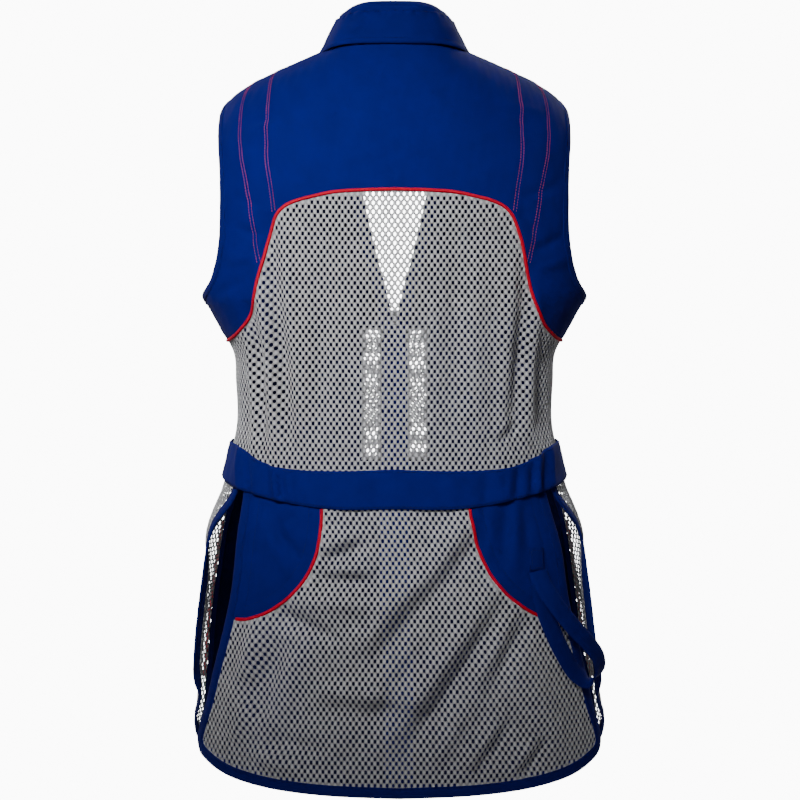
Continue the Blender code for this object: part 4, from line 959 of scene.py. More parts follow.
def fill_outline(edges, spacing, lines=()):
    """Triangles over an outline, with rows of points along its edges and along its seams."""
    outline = inset_outline(edges)
    low = outline.min(axis=0)
    high = outline.max(axis=0)
    row_step = spacing * math.sqrt(3) / 2
    rows = []
    for number in range(int((high[1] - low[1]) / row_step) + 1):
        shift = 0.5 * spacing * (number % 2)
        xs = np.arange(low[0] + shift, high[0], spacing)
        rows.append(np.column_stack([xs, np.full(len(xs), low[1] + (number + 0.5) * row_step)]))
    grid = np.concatenate(rows)
    grid = grid[inside(outline, grid)]
    grid = grid[edge_distance(outline, grid) > RING_ROWS[-1] + 0.5 * spacing]
    kept = [outline]
    for row in RING_ROWS:
        ring = inset_outline([(curve, inset + row) for curve, inset in edges])
        ring = ring[inside(outline, ring)]
        kept.append(spread_out(ring[edge_distance(outline, ring) > 0.9 * row], LEAST))
    for line in lines:
        clear = path_distance(line, grid) > LINE_ROWS[-1] + 0.5 * spacing
        grid = grid[clear]
        for row in LINE_ROWS:
            beside = moved_aside(line, row)
            beside = beside[inside(outline, beside)]
            beside = beside[edge_distance(outline, beside) > RING_ROWS[-1] + LEAST]
            kept.append(spread_out(beside, LEAST))
    places = np.concatenate(kept + [grid])
    count = len(outline)
    ring = [(k, (k + 1) % count) for k in range(count)]
    found = delaunay_2d_cdt([Vector(p) for p in places], ring, [list(range(count))], 1, 1e-7)
    verts = np.array([tuple(v) for v in found[0]])
    return outline, verts, [tuple(face) for face in found[2]]


def spread_out(points, least):
    """Leave out points that crowd the one before them."""
    kept = []
    for point in points:
        if not kept or np.linalg.norm(point - kept[-1]) > least:
            kept.append(point)
    return np.array(kept).reshape(-1, 2)


def moved_aside(line, distance):
    """A line moved to the left of its direction."""
    ways = np.gradient(np.asarray(line, float), axis=0)
    ways = unit_rows(ways)
    return line + left_of(ways) * distance


def skin(places, faces, outer, inner):
    """Close two skins over the same faces with rims, round holes too."""
    count = len(places)
    solid = [tuple(face) for face in faces]
    solid += [tuple(count + k for k in reversed(face)) for face in faces]
    borders = {}
    for face in faces:
        for a, b in zip(face, face[1:] + face[:1]):
            if (b, a) in borders:
                del borders[(b, a)]
            else:
                borders[(a, b)] = True
    for a, b in borders:
        solid.append((b, a, count + a, count + b))
    return np.concatenate([outer, inner]), solid


def grid_faces(rows, count, closed):
    """Four-sided faces between rows of points, back to the first point where closed."""
    faces = []
    for row in range(rows):
        for k in range(count if closed else count - 1):
            a = row * count + k
            b = row * count + (k + 1) % count
            faces.append((a, b, b + count, a + count))
    return faces


def pucker(places, size, pitch, phase):
    """A soft uneven ripple, the same on each run."""
    x = places[:, 0] / pitch
    y = places[:, 1] / pitch
    wave = np.sin(2.1 * x + 1.3 * y + phase) + np.sin(-1.2 * x + 2.6 * y + 2.3 * phase)
    wave += np.sin(3.7 * x - 0.8 * y + 0.7 * phase)
    return size * wave / 3


def panel(
    name, edges, finish, out=0.0, thick=None, relief=None, lines=(),
    drop=SOFT_DROP, step=PANEL_STEP, reverse=None
):
    """A cloth panel with soft edges, a groove along each line of stitches and a reverse side."""
    thick = cloth_sizes().thick if thick is None else thick
    outline, places, faces = fill_outline(edges, step, lines)
    lift = np.full(len(places), out)
    if relief is not None:
        lift = lift + relief(places)
    lift = lift + pucker(places, PUCKER_SIZE, PUCKER_PITCH, len(name))
    outer = lift + thick
    if drop:
        outer = outer - drop * np.exp(-edge_distance(outline, places) / EDGE_SOFT)
    for line in lines:
        gap = path_distance(line, places)
        outer = outer - GROOVE * np.exp(-(gap / GROOVE_HALF) ** 2)
    points, solid = skin(places, faces, on_body(places, outer), on_body(places, lift))
    piece = new_piece(name, points, solid, finish, np.concatenate([places, places]))
    if reverse is not None:
        piece.data.materials.append(finish_of(reverse))
        sides = np.zeros(len(piece.data.polygons), int)
        sides[len(faces):2 * len(faces)] = 1
        piece.data.polygons.foreach_set("material_index", sides)
    return piece, outline


def mesh_panel(name, edges, relief=None):
    """Knitted mesh: a closed shell with a real hole in each cell of a staggered pattern."""
    sizes = cloth_sizes()
    outline = inset_outline(edges)
    low = outline.min(axis=0) - sizes.pitch_down
    high = outline.max(axis=0) + sizes.pitch_down
    row_count = int((high[1] - low[1]) / sizes.pitch_down) + 1
    column_count = int((high[0] - low[0]) / sizes.pitch_across) + 2
    row, column = np.meshgrid(np.arange(row_count), np.arange(column_count), indexing="ij")
    key_x = (2 * column + row % 2).ravel()
    key_y = (3 * row).ravel()
    corner_keys = np.stack([key_x, key_y], axis=1)[:, None, :] + np.array(CELL_KEYS)[None]
    unit = np.array([sizes.pitch_across / 2, sizes.pitch_down / 3])
    centres = low + np.stack([key_x, key_y], axis=1) * unit
    flat_keys = corner_keys.reshape(-1, 2)
    keys, corner_of = np.unique(flat_keys, axis=0, return_inverse=True)
    corner_of = np.asarray(corner_of).reshape(-1, 6)
    corners = low + keys * unit
    in_corner = inside(outline, corners)
    counts = in_corner[corner_of].sum(axis=1)
    kept = (counts >= 2) | (inside(outline, centres) & (counts >= 1))
    whole = (counts == 6) & (edge_distance(outline, centres) > 0.8 * sizes.pitch_down)
    moved = corners.copy()
    moved[~in_corner], _ = nearest_on(closed_line(outline), corners[~in_corner])
    rng = np.random.default_rng(len(name) * 7919)
    places = [moved]
    total = len(moved)
    hole_angle = np.radians(60.0 * np.arange(6))
    faces = []
    marks = [np.zeros(len(moved), bool)]
    for cell in np.nonzero(kept)[0]:
        ring = [int(k) for k in corner_of[cell]]
        if not whole[cell]:
            faces.append(tuple(ring))
            continue
        size = rng.uniform(0.92, 1.08)
        turn = rng.uniform(-0.10, 0.10)
        hole_x = 0.5 * sizes.hole_width * size * np.sin(hole_angle)
        hole_y = -0.5 * sizes.hole_height * size * np.cos(hole_angle)
        hole = centres[cell] + np.column_stack([hole_x - turn * hole_y, hole_y + turn * hole_x])
        places.append(hole)
        marks.append(np.ones(6, bool))
        for k in range(6):
            after = (k + 1) % 6
            faces.append((ring[k], ring[after], total + after, total + k))
        total += 6
    places, faces, marks = welded(np.concatenate(places), faces, np.concatenate(marks), MESH_WELD)
    height = np.where(marks, YARN_EDGE, 1.0) * sizes.mesh_thick / 2
    middle = sizes.mesh_thick / 2 + (relief(places) if relief else 0.0)
    outer = on_body(places, middle + height)
    inner = on_body(places, middle - height)
    points, solid = skin(places, faces, outer, inner)
    weave = places - low
    piece = new_piece(name, points, solid, "mesh_yarn", np.concatenate([weave, weave]))
    return piece, outline


def welded(places, faces, marks, size):
    """Join points that fall together, and leave out faces and points that this empties."""
    keys = np.round(places / size).astype(int)
    _, first, joined = np.unique(keys, axis=0, return_index=True, return_inverse=True)
    joined = np.asarray(joined).ravel()
    kept = []
    for face in faces:
        ring = [int(joined[k]) for k in face]
        ring = [k for n, k in enumerate(ring) if k != ring[n - 1]]
        if len(set(ring)) == len(ring) and len(ring) >= 3:
            kept.append(tuple(ring))
    used = np.unique(np.concatenate([np.array(face) for face in kept]))
    order = np.full(len(first), -1)
    order[used] = np.arange(len(used))
    faces = [tuple(int(order[k]) for k in face) for face in kept]
    return places[first][used], faces, marks[first][used]


def band(name, path, width, finish, closed=False, relief=None):
    """A folded binding along a path, `width` to the left of its direction."""
    path = np.asarray(path, float)
    if closed:
        ways = np.roll(path, -1, axis=0) - np.roll(path, 1, axis=0)
    else:
        ways = np.gradient(path, axis=0)
    ways = unit_rows(ways)
    left = left_of(ways)
    count = len(path)
    places = np.concatenate([path + left * width * row[0] for row in BAND_ROWS])
    lift = relief(places) if relief else 0.0
    outer = np.concatenate([np.full(count, row[1]) for row in BAND_ROWS]) + lift
    inner = np.concatenate([np.full(count, row[2]) for row in BAND_ROWS]) + lift
    outer = outer + pucker(places, BAND_PUCKER, BAND_PITCH, len(name))
    faces = grid_faces(len(BAND_ROWS) - 1, count, closed)
    points, solid = skin(places, faces, on_body(places, outer), on_body(places, inner))
    return new_piece(name, points, solid, finish, np.concatenate([places, places]))


def frames_along(centres, outs, closed=False):
    """Side and outward directions square to a path."""
    if closed:
        ways = np.roll(centres, -1, axis=0) - np.roll(centres, 1, axis=0)
    else:
        ways = np.gradient(centres, axis=0)
    ways = unit_rows(ways)
    sides = np.cross(outs, ways)
    sides = unit_rows(sides)
    return ways, sides, np.cross(ways, sides)


def sweep(name, centres, sides, outs, profile, finish, sharp=None):
    """Carry a closed profile of (side, out) points along a row of centres."""
    rounds = np.array(profile, float)
    count = len(rounds)
    points = centres[:, None, :] + sides[:, None, :] * rounds[None, :, :1]
    points = points + outs[:, None, :] * rounds[None, :, 1:]
    along = lengths_along(centres)
    girth = np.linalg.norm(np.roll(rounds, -1, axis=0) - rounds, axis=1)
    girth = np.concatenate([[0.0], np.cumsum(girth)[:-1]])
    weave = np.stack(np.meshgrid(girth, along), axis=2).reshape(-1, 2)
    points = points.reshape(-1, 3)
    faces = grid_faces(len(centres) - 1, count, True)
    faces.append(tuple(range(count)))
    faces.append(tuple(len(points) - 1 - k for k in range(count)))
    return new_piece(name, points, faces, finish, weave, sharp)


def round_profile(radius, sides=10, flat=1.0):
    angles = 2 * math.pi * np.arange(sides) / sides
    return np.column_stack([radius * np.cos(angles), radius * flat * np.sin(angles)])


def flat_profile(width, thick):
    """A flat strip with rounded edges."""
    half_w = width / 2
    half_t = thick / 2
    ease = half_t * 0.9
    return [
        (-half_w, 0.0), (-half_w + ease, -half_t), (-half_w / 3, -half_t), (half_w / 3, -half_t),
        (half_w - ease, -half_t), (half_w, 0.0), (half_w - ease, half_t), (half_w / 3, half_t),
        (-half_w / 3, half_t), (-half_w + ease, half_t),
    ]


def piping(name, path, lift=PIPING_LIFT):
    """A covered cord that lies along a seam."""
    path = np.asarray(path, float)
    wander = pucker(path, CORD_WANDER, BAND_PITCH, len(name))
    centres = on_body(path, lift + wander)
    _, sides, outs = frames_along(centres, body_normals(path))
    return sweep(name, centres, sides, outs, round_profile(trim_sizes().piping), "red_cord")


# Sewing

def body_spot(places, out):
    return on_body(places, out), body_normals(places)


def lifted_spot(relief):
    """Where stitches lie on a piece that stands off the body."""
    def spot(places, out):
        return body_spot(places, out + relief(places))
    return spot


def fall_spot(places, out):
    normals = FALL.normal(places[:, 0], places[:, 1])
    return FALL.point(places[:, 0], places[:, 1]) + normals * out, normals


def stitch_rows(name, paths, finish, out, spot=body_spot, closed=False):
    """Sewing thread: one small rounded stitch after another along each path."""
    trim = trim_sizes()
    starts = []
    ends = []
    normals = []
    for path in paths:
        path = np.asarray(path, float)
        if closed:
            path = np.concatenate([path, path[:1]])
        world, _ = spot(path, out)
        along = lengths_along(world)
        count = int(along[-1] / trim.stitch_pitch)
        first = (np.arange(count) + 0.15) * trim.stitch_pitch
        for distances, store in ((first, starts), (first + trim.stitch, ends)):
            at = np.column_stack([np.interp(distances, along, path[:, k]) for k in (0, 1)])
            points, facing = spot(at, out)
            store.append(points)
        normals.append(facing)
    start = np.concatenate(starts)
    end = np.concatenate(ends)
    normal = np.concatenate(normals)
    way = end - start
    way = way / np.maximum(np.linalg.norm(way, axis=1, keepdims=True), 1e-9)
    side = np.cross(normal, way)
    radius = trim.thread
    rings = []
    for share in (0.22, 0.78):
        middle = start + (end - start) * share
        for a, b in ((1, 0), (0, 1), (-1, 0), (0, -1)):
            rings.append(middle + side * a * radius + normal * b * radius)
    rings = [start - normal * radius] + rings + [end - normal * radius]
    points = np.stack(rings, axis=1).reshape(-1, 3)
    faces = []
    for n in range(len(start)):
        base = n * 10
        for k in range(4):
            after = (k + 1) % 4
            faces.append((base, base + 1 + after, base + 1 + k))
            faces.append((base + 1 + k, base + 1 + after, base + 5 + after, base + 5 + k))
            faces.append((base + 9, base + 5 + k, base + 5 + after))
    return new_piece(name, points, faces, finish)


# Lines shared by pieces

def both_sides(curve):
    """A curve given from the centre back out, joined to its mirror image."""
    curve = np.asarray(curve, float)
    return np.concatenate([mirrored(curve[::-1])[:-1], curve])


def armhole_path():
    return smooth_path(ARMHOLE, EDGE_STEP, closed=True)


def armhole_parts():
    """The armhole's back and front edges, from the shoulder seam to the side seam."""
    loop = armhole_path()
    shares = loop[:, 0] / BODY.half(loop[:, 1])
    top = int(np.argmin(np.abs(shares - SHOULDER_SEAM_SHARE) + (loop[:, 1] > ARMHOLE_MIDDLE)))
    loop = np.roll(loop, -top, axis=0)
    shares = np.roll(shares, -top)
    low = int(np.argmin(np.abs(shares - SIDE_SEAM_SHARE) + (loop[:, 1] < ARMHOLE_MIDDLE)))
    back = loop[:low + 1]
    front = np.concatenate([loop[low:], loop[:1]])[::-1]
    return back, front


def shoulder_seam(end):
    """From the neck to the top of the armhole."""
    start = (SHOULDER_SEAM_SHARE * float(BODY.half(0.0)), 0.0)
    return straight(start, end)


def side_seam(start, end_down):
    """Down the side, from a given point."""
    line = share_line(SIDE_SEAM_SHARE, start[1], end_down)
    line[0] = start
    return line


def belt_line(rows, shift=0.0):
    line = smooth_path(rows)
    line[:, 1] += shift
    return line


def cut_line(line, low=None, high=None):
    """The part of a line between two values of across."""
    keep = np.ones(len(line), bool)
    if low is not None:
        keep &= line[:, 0] > low
    if high is not None:
        keep &= line[:, 0] < high
    return line[keep]


def down_on(line, across):
    return float(np.interp(across, line[:, 0], line[:, 1]))


def tail_lines():
    """Edge of the tail, the facing seam and the top line."""
    edge = smooth_path(TAIL_EDGE)
    seam = cut_line(smooth_path(FACING_SEAM), high=FACING_OUTER)
    top = cut_line(belt_line(BELT_BOTTOM, -TUCK), high=edge[0, 0] - EDGE_STEP)
    return edge, seam, top


def opening_line(away):
    """The front edge on one side, from the neck down to the hem, `away` from the opening."""
    base = smooth_path(NECK_OPENING, 0.004)
    base = np.concatenate([base, [(0.0, ZIP_STOP + 0.03), (0.0, SKIRT_HEM + 0.01)]])
    ways = np.gradient(base, axis=0)
    ways = unit_rows(ways)
    moved = base - left_of(ways) * away
    downs = straight((0.0, 0.0), (0.0, SKIRT_HEM), OPENING_STEP)[:, 1]
    aways = np.interp(downs, moved[:, 1], moved[:, 0])
    return np.array(from_front(np.column_stack([aways, downs])))


def skirt_lines():
    """The skirt's seam on the front panel, and the seam above it, from the side seam to that."""
    seam = smooth_path(tuple(tuple(row) for row in from_front(SKIRT_SEAM)))
    side = (SIDE_SEAM_SHARE * float(BODY.half(SKIRT_TOP)), SKIRT_TOP)
    return seam, straight(side, seam[0])


def skirt_edge(end):
    """The front skirt's back edge and corner down to its seam's foot, and the hem from there."""
    seam, _ = skirt_lines()
    level = (float(BODY.half(SKIRT_HEM)) - FRONT_EDGE - HEM_LEVEL, SKIRT_HEM)
    hem = tuple(tuple(row) for row in from_front(FRONT_HEM))
    line = smooth_path(SLIT_EDGE + (tuple(seam[-1]),) + hem + (level,))
    foot = int(np.argmin(np.linalg.norm(line - seam[-1], axis=1)))
    line[foot] = seam[-1]
    return line[:foot + 1], np.concatenate([line[foot:], straight(level, end)[1:]])


def skirt_flare(places):
    """How far the skirt's side leans in behind its back edge."""
    edge = np.array(SLIT_EDGE)
    across = np.minimum(np.interp(places[:, 1], edge[:, 1], edge[:, 0]), FLARE_EDGE)
    gone = np.maximum(np.abs(places[:, 0]) - across, 0.0)
    bend = 1.0 - np.exp(-((gone / FLARE_TURN) ** 2))
    fade = np.exp(-((np.maximum(gone - 2 * FLARE_TURN, 0.0) / FLARE_FADE) ** 2))
    return -FLARE_IN * bend * fade * smooth_rise(places[:, 1], FLARE_FROM, FLARE_OVER)


def pocket_relief(side):
    """How far a pocket stands off the panel: nothing at its sides and foot, most at its mouth."""
    def relief(places):
        away = BODY.half(places[:, 1]) - side * places[:, 0]
        width_share = np.clip((away - POCKET_INNER) / (POCKET_OUTER - POCKET_INNER), 0.0, 1.0)
        rise_share = (POCKET_BOTTOM - places[:, 1]) / (POCKET_BOTTOM - POCKET_TOP)
        rise_share = np.clip(rise_share, 0.0, 1.0)
        belly = np.sin(np.pi * width_share) ** 0.55
        return POCKET_DEPTH * belly * np.sin(0.5 * np.pi * rise_share) ** 0.6
    return relief


def pocket_corners():
    """Outline of a pocket as distances from the centre front, with rounded lower corners."""
    outline = [(POCKET_INNER, POCKET_TOP)]
    for centre, start in ((POCKET_INNER + POCKET_CORNER, 180), (POCKET_OUTER - POCKET_CORNER, 90)):
        for k in range(5):
            angle = math.radians(start - 90 * k / 4)
            away = centre + POCKET_CORNER * math.cos(angle)
            outline.append((away, POCKET_BOTTOM - POCKET_CORNER + POCKET_CORNER * math.sin(angle)))
    outline.append((POCKET_OUTER, POCKET_TOP))
    return outline


# Finishes

def node_of(tree, kind, **values):
    node = tree.nodes.new(kind)
    for name, value in values.items():
        setattr(node, name, value)
    return node


def new_finish(name, roughness, metallic=0.0, sheen=0.0, sheen_roughness=0.5, specular=0.5):
    material = bpy.data.materials.new(name)
    material.use_nodes = True
    tree = material.node_tree
    shader = tree.nodes["Principled BSDF"]
    shader.inputs["Roughness"].default_value = roughness
    shader.inputs["Metallic"].default_value = metallic
    shader.inputs["Sheen Weight"].default_value = sheen
    shader.inputs["Sheen Roughness"].default_value = sheen_roughness
    shader.inputs["Specular IOR Level"].default_value = specular
    return material, tree, shader


def weave_place(tree, turn=0.0):
    """Places on the cloth in millimetres, turned by an angle."""
    layer = node_of(tree, "ShaderNodeUVMap", uv_map="cloth")
    mapping = node_of(tree, "ShaderNodeMapping")
    mapping.inputs["Scale"].default_value = (1000.0, 1000.0, 1000.0)
    mapping.inputs["Rotation"].default_value = (0.0, 0.0, turn)
    tree.links.new(layer.outputs["UV"], mapping.inputs["Vector"])
    return mapping.outputs["Vector"]


def wave_of(tree, place, period, direction="X", distortion=0.0):
    """Even bands, one for each `period` in millimetres."""
    wave = node_of(tree, "ShaderNodeTexWave", wave_type="BANDS", bands_direction=direction)
    wave.inputs["Scale"].default_value = 2 * math.pi / (20.0 * period)
    wave.inputs["Distortion"].default_value = distortion
    wave.inputs["Detail"].default_value = 1.0
    tree.links.new(place, wave.inputs["Vector"])
    return wave.outputs["Fac"]


def noise_of(tree, place, size, detail=2.0, roughness=0.5):
    """Cloudy variation with features about `size` millimetres wide."""
    noise = node_of(tree, "ShaderNodeTexNoise")
    noise.inputs["Scale"].default_value = 1.0 / size
    noise.inputs["Detail"].default_value = detail
    noise.inputs["Roughness"].default_value = roughness
    tree.links.new(place, noise.inputs["Vector"])
    return noise.outputs["Fac"]


def joined_of(tree, operation, first, second):
    node = node_of(tree, "ShaderNodeMath", operation=operation)
    tree.links.new(first, node.inputs[0])
    if isinstance(second, float):
        node.inputs[1].default_value = second
    else:
        tree.links.new(second, node.inputs[1])
    return node.outputs[0]


def blend_of(tree, *parts):
    """The sum of some factors, each with its own weight."""
    total = None
    for factor, weight in parts:
        part = joined_of(tree, "MULTIPLY", factor, weight)
        total = part if total is None else joined_of(tree, "ADD", total, part)
    return total


def mixed_colour(tree, factor, low, high, low_at=0.3, high_at=0.7):
    """A colour between two, by a factor."""
    ramp = node_of(tree, "ShaderNodeValToRGB")
    ramp.color_ramp.elements[0].position = low_at
    ramp.color_ramp.elements[1].position = high_at
    ramp.color_ramp.elements[0].color = (*low, 1.0)
    ramp.color_ramp.elements[1].color = (*high, 1.0)
    tree.links.new(factor, ramp.inputs["Fac"])
    return ramp.outputs["Color"]


def bumped(tree, shader, height, strength, distance):
    bump = node_of(tree, "ShaderNodeBump")
    bump.inputs["Strength"].default_value = strength
    bump.inputs["Distance"].default_value = distance
    tree.links.new(height, bump.inputs["Height"])
    tree.links.new(bump.outputs["Normal"], shader.inputs["Normal"])


def scaled(colour, factor):
    return tuple(min(1.0, channel * factor) for channel in colour)


def woven_finish(name, colour, period, roughness, sheen, light, dark):
    """Twill weave: diagonal ribs crossed by finer yarns, a little uneven in colour."""
    material, tree, shader = new_finish(name, roughness, 0.0, sheen, 0.45, 0.10)
    rib = wave_of(tree, weave_place(tree, math.radians(RIB_TURN)), period, distortion=0.35)
    yarn_place = weave_place(tree, math.radians(YARN_TURN))
    yarn = wave_of(tree, yarn_place, period * YARN_FINER, distortion=0.3)
    cloud = noise_of(tree, weave_place(tree), CLOUD_SIZE, 3.0)
    fleck = noise_of(tree, weave_place(tree), FLECK_SIZE, 2.0, 0.7)
    weave = blend_of(tree, (rib, 0.65), (yarn, 0.35))
    factor = blend_of(tree, (cloud, 0.55), (fleck, 0.25), (weave, 0.20))
    colours = mixed_colour(tree, factor, scaled(colour, dark), scaled(colour, light), 0.30, 0.70)
    tree.links.new(colours, shader.inputs["Base Color"])
    bumped(tree, shader, weave, *WEAVE_BUMP)
    return material


def make_finish(name):
    colours = bpy.context.scene.vest_colours
    if name == "mesh_yarn":
        return mesh_finish(name, colours.grey)
    if name == "metal":
        return metal_finish(name, colours.metal)
    hue, share, rib, roughness, sheen, light, dark = WOVEN[name]
    colour = RED_THREAD if hue is None else scaled(getattr(colours, hue), share)
    return woven_finish(name, colour, rib, roughness, sheen, light, dark)


def mesh_finish(name, colour):
    """Knitted polyester: a raised diamond between the holes, fine loops and a faint uneven grey, with
    painted shade and highlights from the diamond.
    """
    material, tree, shader = new_finish(name, 0.60, 0.0, 0.05, 0.4, 0.25)
    sizes = cloth_sizes()
    slant = math.atan2(sizes.pitch_across / 2, sizes.pitch_down)
    period = 1000.0 * sizes.pitch_across * math.cos(slant)
    rising = wave_of(tree, weave_place(tree, slant), period)
    falling = wave_of(tree, weave_place(tree, -slant), period)
    diamond = joined_of(tree, "MINIMUM", rising, falling)
    loops = wave_of(tree, weave_place(tree, math.radians(LOOP_TURN)), LOOP_SIZE, distortion=1.2)
    fuzz = noise_of(tree, weave_place(tree), FUZZ_SIZE, 3.0, 0.7)
    cloud = noise_of(tree, weave_place(tree), MESH_CLOUD_SIZE, 2.0)
    knit = blend_of(tree, (diamond, 0.44), (loops, 0.10))
    # The diamond also sets the grey: the darker yarn where it bridges the hole tips is painted shade,
    # and the lighter middle of each diamond is a painted highlight; loops, fuzz and cloud vary the grey
    # as well.
    factor = blend_of(tree, (diamond, 0.44), (loops, 0.10), (fuzz, 0.25), (cloud, 0.12))
    colours = mixed_colour(tree, factor, scaled(colour, 0.52), scaled(colour, 1.26), 0.20, 0.66)
    tree.links.new(colours, shader.inputs["Base Color"])
    bumped(tree, shader, knit, *KNIT_BUMP)
    return material


def metal_finish(name, colour):
    """Satin metal with fine rubbing marks, a little uneven in colour and roughness."""
    material, tree, shader = new_finish(name, 0.34, metallic=1.0)
    place = node_of(tree, "ShaderNodeTexCoord").outputs["Object"]
    fine = node_of(tree, "ShaderNodeTexNoise")
    fine.inputs["Scale"].default_value = METAL_GRAIN
    fine.inputs["Detail"].default_value = 3.0
    tree.links.new(place, fine.inputs["Vector"])
    colours = mixed_colour(tree, fine.outputs["Fac"], scaled(colour, 0.82), scaled(colour, 1.12))
    tree.links.new(colours, shader.inputs["Base Color"])
    rough = node_of(tree, "ShaderNodeMapRange")
    rough.inputs["To Min"].default_value = METAL_ROUGH[0]
    rough.inputs["To Max"].default_value = METAL_ROUGH[1]
    tree.links.new(fine.outputs["Fac"], rough.inputs["Value"])
    tree.links.new(rough.outputs["Result"], shader.inputs["Roughness"])
    bumped(tree, shader, fine.outputs["Fac"], *METAL_BUMP)
    return material


def finish_of(name):
    """The named material, made the first time that it is asked for."""
    found = bpy.data.materials.get(name + "_finish")
    if found is None:
        found = make_finish(name)
        found.name = name + "_finish"
    return found


# Pieces of the back

def yoke_edges():
    back, _ = armhole_parts()
    seam = smooth_path(YOKE_SEAM)
    side_low = (SIDE_SEAM_SHARE * float(BODY.half(YOKE_SIDE_DOWN)), YOKE_SIDE_DOWN)
    neck = straight((0.0, 0.0), (SHOULDER_SEAM_SHARE * float(BODY.half(0.0)), 0.0))
    left = [
        (neck, SEAM_GAP),
        (shoulder_seam(back[0]), PLAIN),
        (back, ARMHOLE_BINDING_WIDTH - UNDER),
        (side_seam(back[-1], YOKE_SIDE_DOWN), PLAIN),
        (straight(side_low, seam[-1]), PIPED),
        (seam[::-1], PIPED),
    ]
    return left + on_side(left, -1)


def blade_lines():
    """The two pairs of red stitch lines on the left, then on the right."""
    lines = []
    for rows in (BLADE_OUTER, BLADE_INNER):
        centre = smooth_path(rows, EDGE_STEP)
        for side in (1, -1):
            for offset in (-PAIR_HALF, PAIR_HALF):
                lines.append(on_the_side(moved_aside(centre, offset), side))
    return lines


def make_yoke():
    centres = []
    for rows in (BLADE_OUTER, BLADE_INNER):
        for side in (1, -1):
            centres.append(on_the_side(smooth_path(rows, YOKE_STEP), side))
    yoke, outline = panel("back_yoke", yoke_edges(), "blue_cloth", lines=centres, step=YOKE_STEP)
    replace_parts(yoke, "back_yoke")
    height = cloth_sizes().thick + STITCH_PROUD
    red = stitch_rows("blade_stitches", blade_lines(), "red_thread", height)
    seam = smooth_path(YOKE_SEAM, CORD_STEP)
    side_across = SIDE_SEAM_SHARE * float(BODY.half(YOKE_SIDE_DOWN)) - PIPING_TUCK
    path = np.concatenate([seam, straight(seam[-1], (side_across, YOKE_SIDE_DOWN), CORD_STEP)[1:]])
    cord = piping("yoke_piping", both_sides(path))
    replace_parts(cord, "yoke_piping")


def make_back_mesh():
    seam = smooth_path(YOKE_SEAM)
    side_top = (SIDE_SEAM_SHARE * float(BODY.half(YOKE_SIDE_DOWN)), YOKE_SIDE_DOWN)
    low = belt_line(BELT_TOP, TUCK)
    low_side = low[-1, 1]
    low = cut_line(low, high=SIDE_SEAM_SHARE * float(BODY.half(low_side)) - EDGE_STEP)
    side = side_seam(side_top, low_side)
    low = np.concatenate([low, side[-1:]])
    left = [(seam, PIPED), (straight(seam[-1], side_top), PIPED), (side, PLAIN), (low[::-1], PLAIN)]
    mesh, outline = mesh_panel("back_mesh", left + on_side(left, -1))
    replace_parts(mesh, "back_mesh")


def gather_height(places):
    """Ridges where the waistband is drawn in, strongest at its lower edge."""
    height = np.zeros(len(places))
    slant = GATHER_SLANT * (places[:, 1] - BELT_MIDDLE)
    for rows, lean in ((GATHERS, slant), (FINE_GATHERS, -slant)):
        for across, half_width, peak in rows:
            aside = places[:, 0] - across - np.sign(across) * lean
            height += peak * np.exp(-(aside / half_width) ** 2)
    return height


def make_waistband():
    top = both_sides(smooth_path(BELT_TOP, EDGE_STEP))
    bottom = both_sides(smooth_path(BELT_BOTTOM, EDGE_STEP))
    edges = [
        (straight(top[0], bottom[0]), 0.0),
        (bottom, 0.0),
        (straight(bottom[-1], top[-1]), 0.0),
        (top[::-1], 0.0),
    ]
    band_piece, outline = panel(
        "waistband", edges, "blue_cloth", BELT_LIFT, BELT_THICK, gather_height,
        drop=BELT_DROP, step=BELT_STEP
    )
    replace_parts(band_piece, "waistband")
    rows = [bottom + (0.0, -BELT_STITCH), top + (0.0, BELT_STITCH)]
    height = BELT_LIFT + BELT_THICK
    sewn = stitch_rows("waistband_stitches", rows, "blue_thread", height, lifted_spot(gather_height))


def make_tail():
    edge, seam, top = tail_lines()
    start = int(np.argmin(np.abs(edge[:, 1] - seam[-1, 1])))
    top_inner = cut_line(top, high=seam[0, 0] - EDGE_STEP)
    top_inner = np.concatenate([top_inner, [(seam[0, 0], down_on(top, seam[0, 0]))]])
    upper = np.concatenate([top_inner[-1:], seam[seam[:, 1] > top_inner[-1, 1] + EDGE_STEP]])
    left = [
        (top_inner, PLAIN),
        (np.concatenate([upper, edge[start:start + 1]]), PIPED),
        (edge[start:], TAIL_BINDING_WIDTH - UNDER),
    ]
    mesh, outline = mesh_panel("tail_mesh", left + on_side(left, -1))
    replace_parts(mesh, "tail_mesh")
    path = both_sides(smooth_path(TAIL_EDGE, EDGE_STEP)[::-1])
    bound = band("tail_binding", path, -TAIL_BINDING_WIDTH, "blue_tape")
    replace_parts(bound, "tail_binding")
    inner = moved_aside(path, -TAIL_BINDING_WIDTH + BINDING_STITCH)
    sewn = stitch_rows("tail_binding_stitches", [inner], "blue_thread", BINDING_TOP)


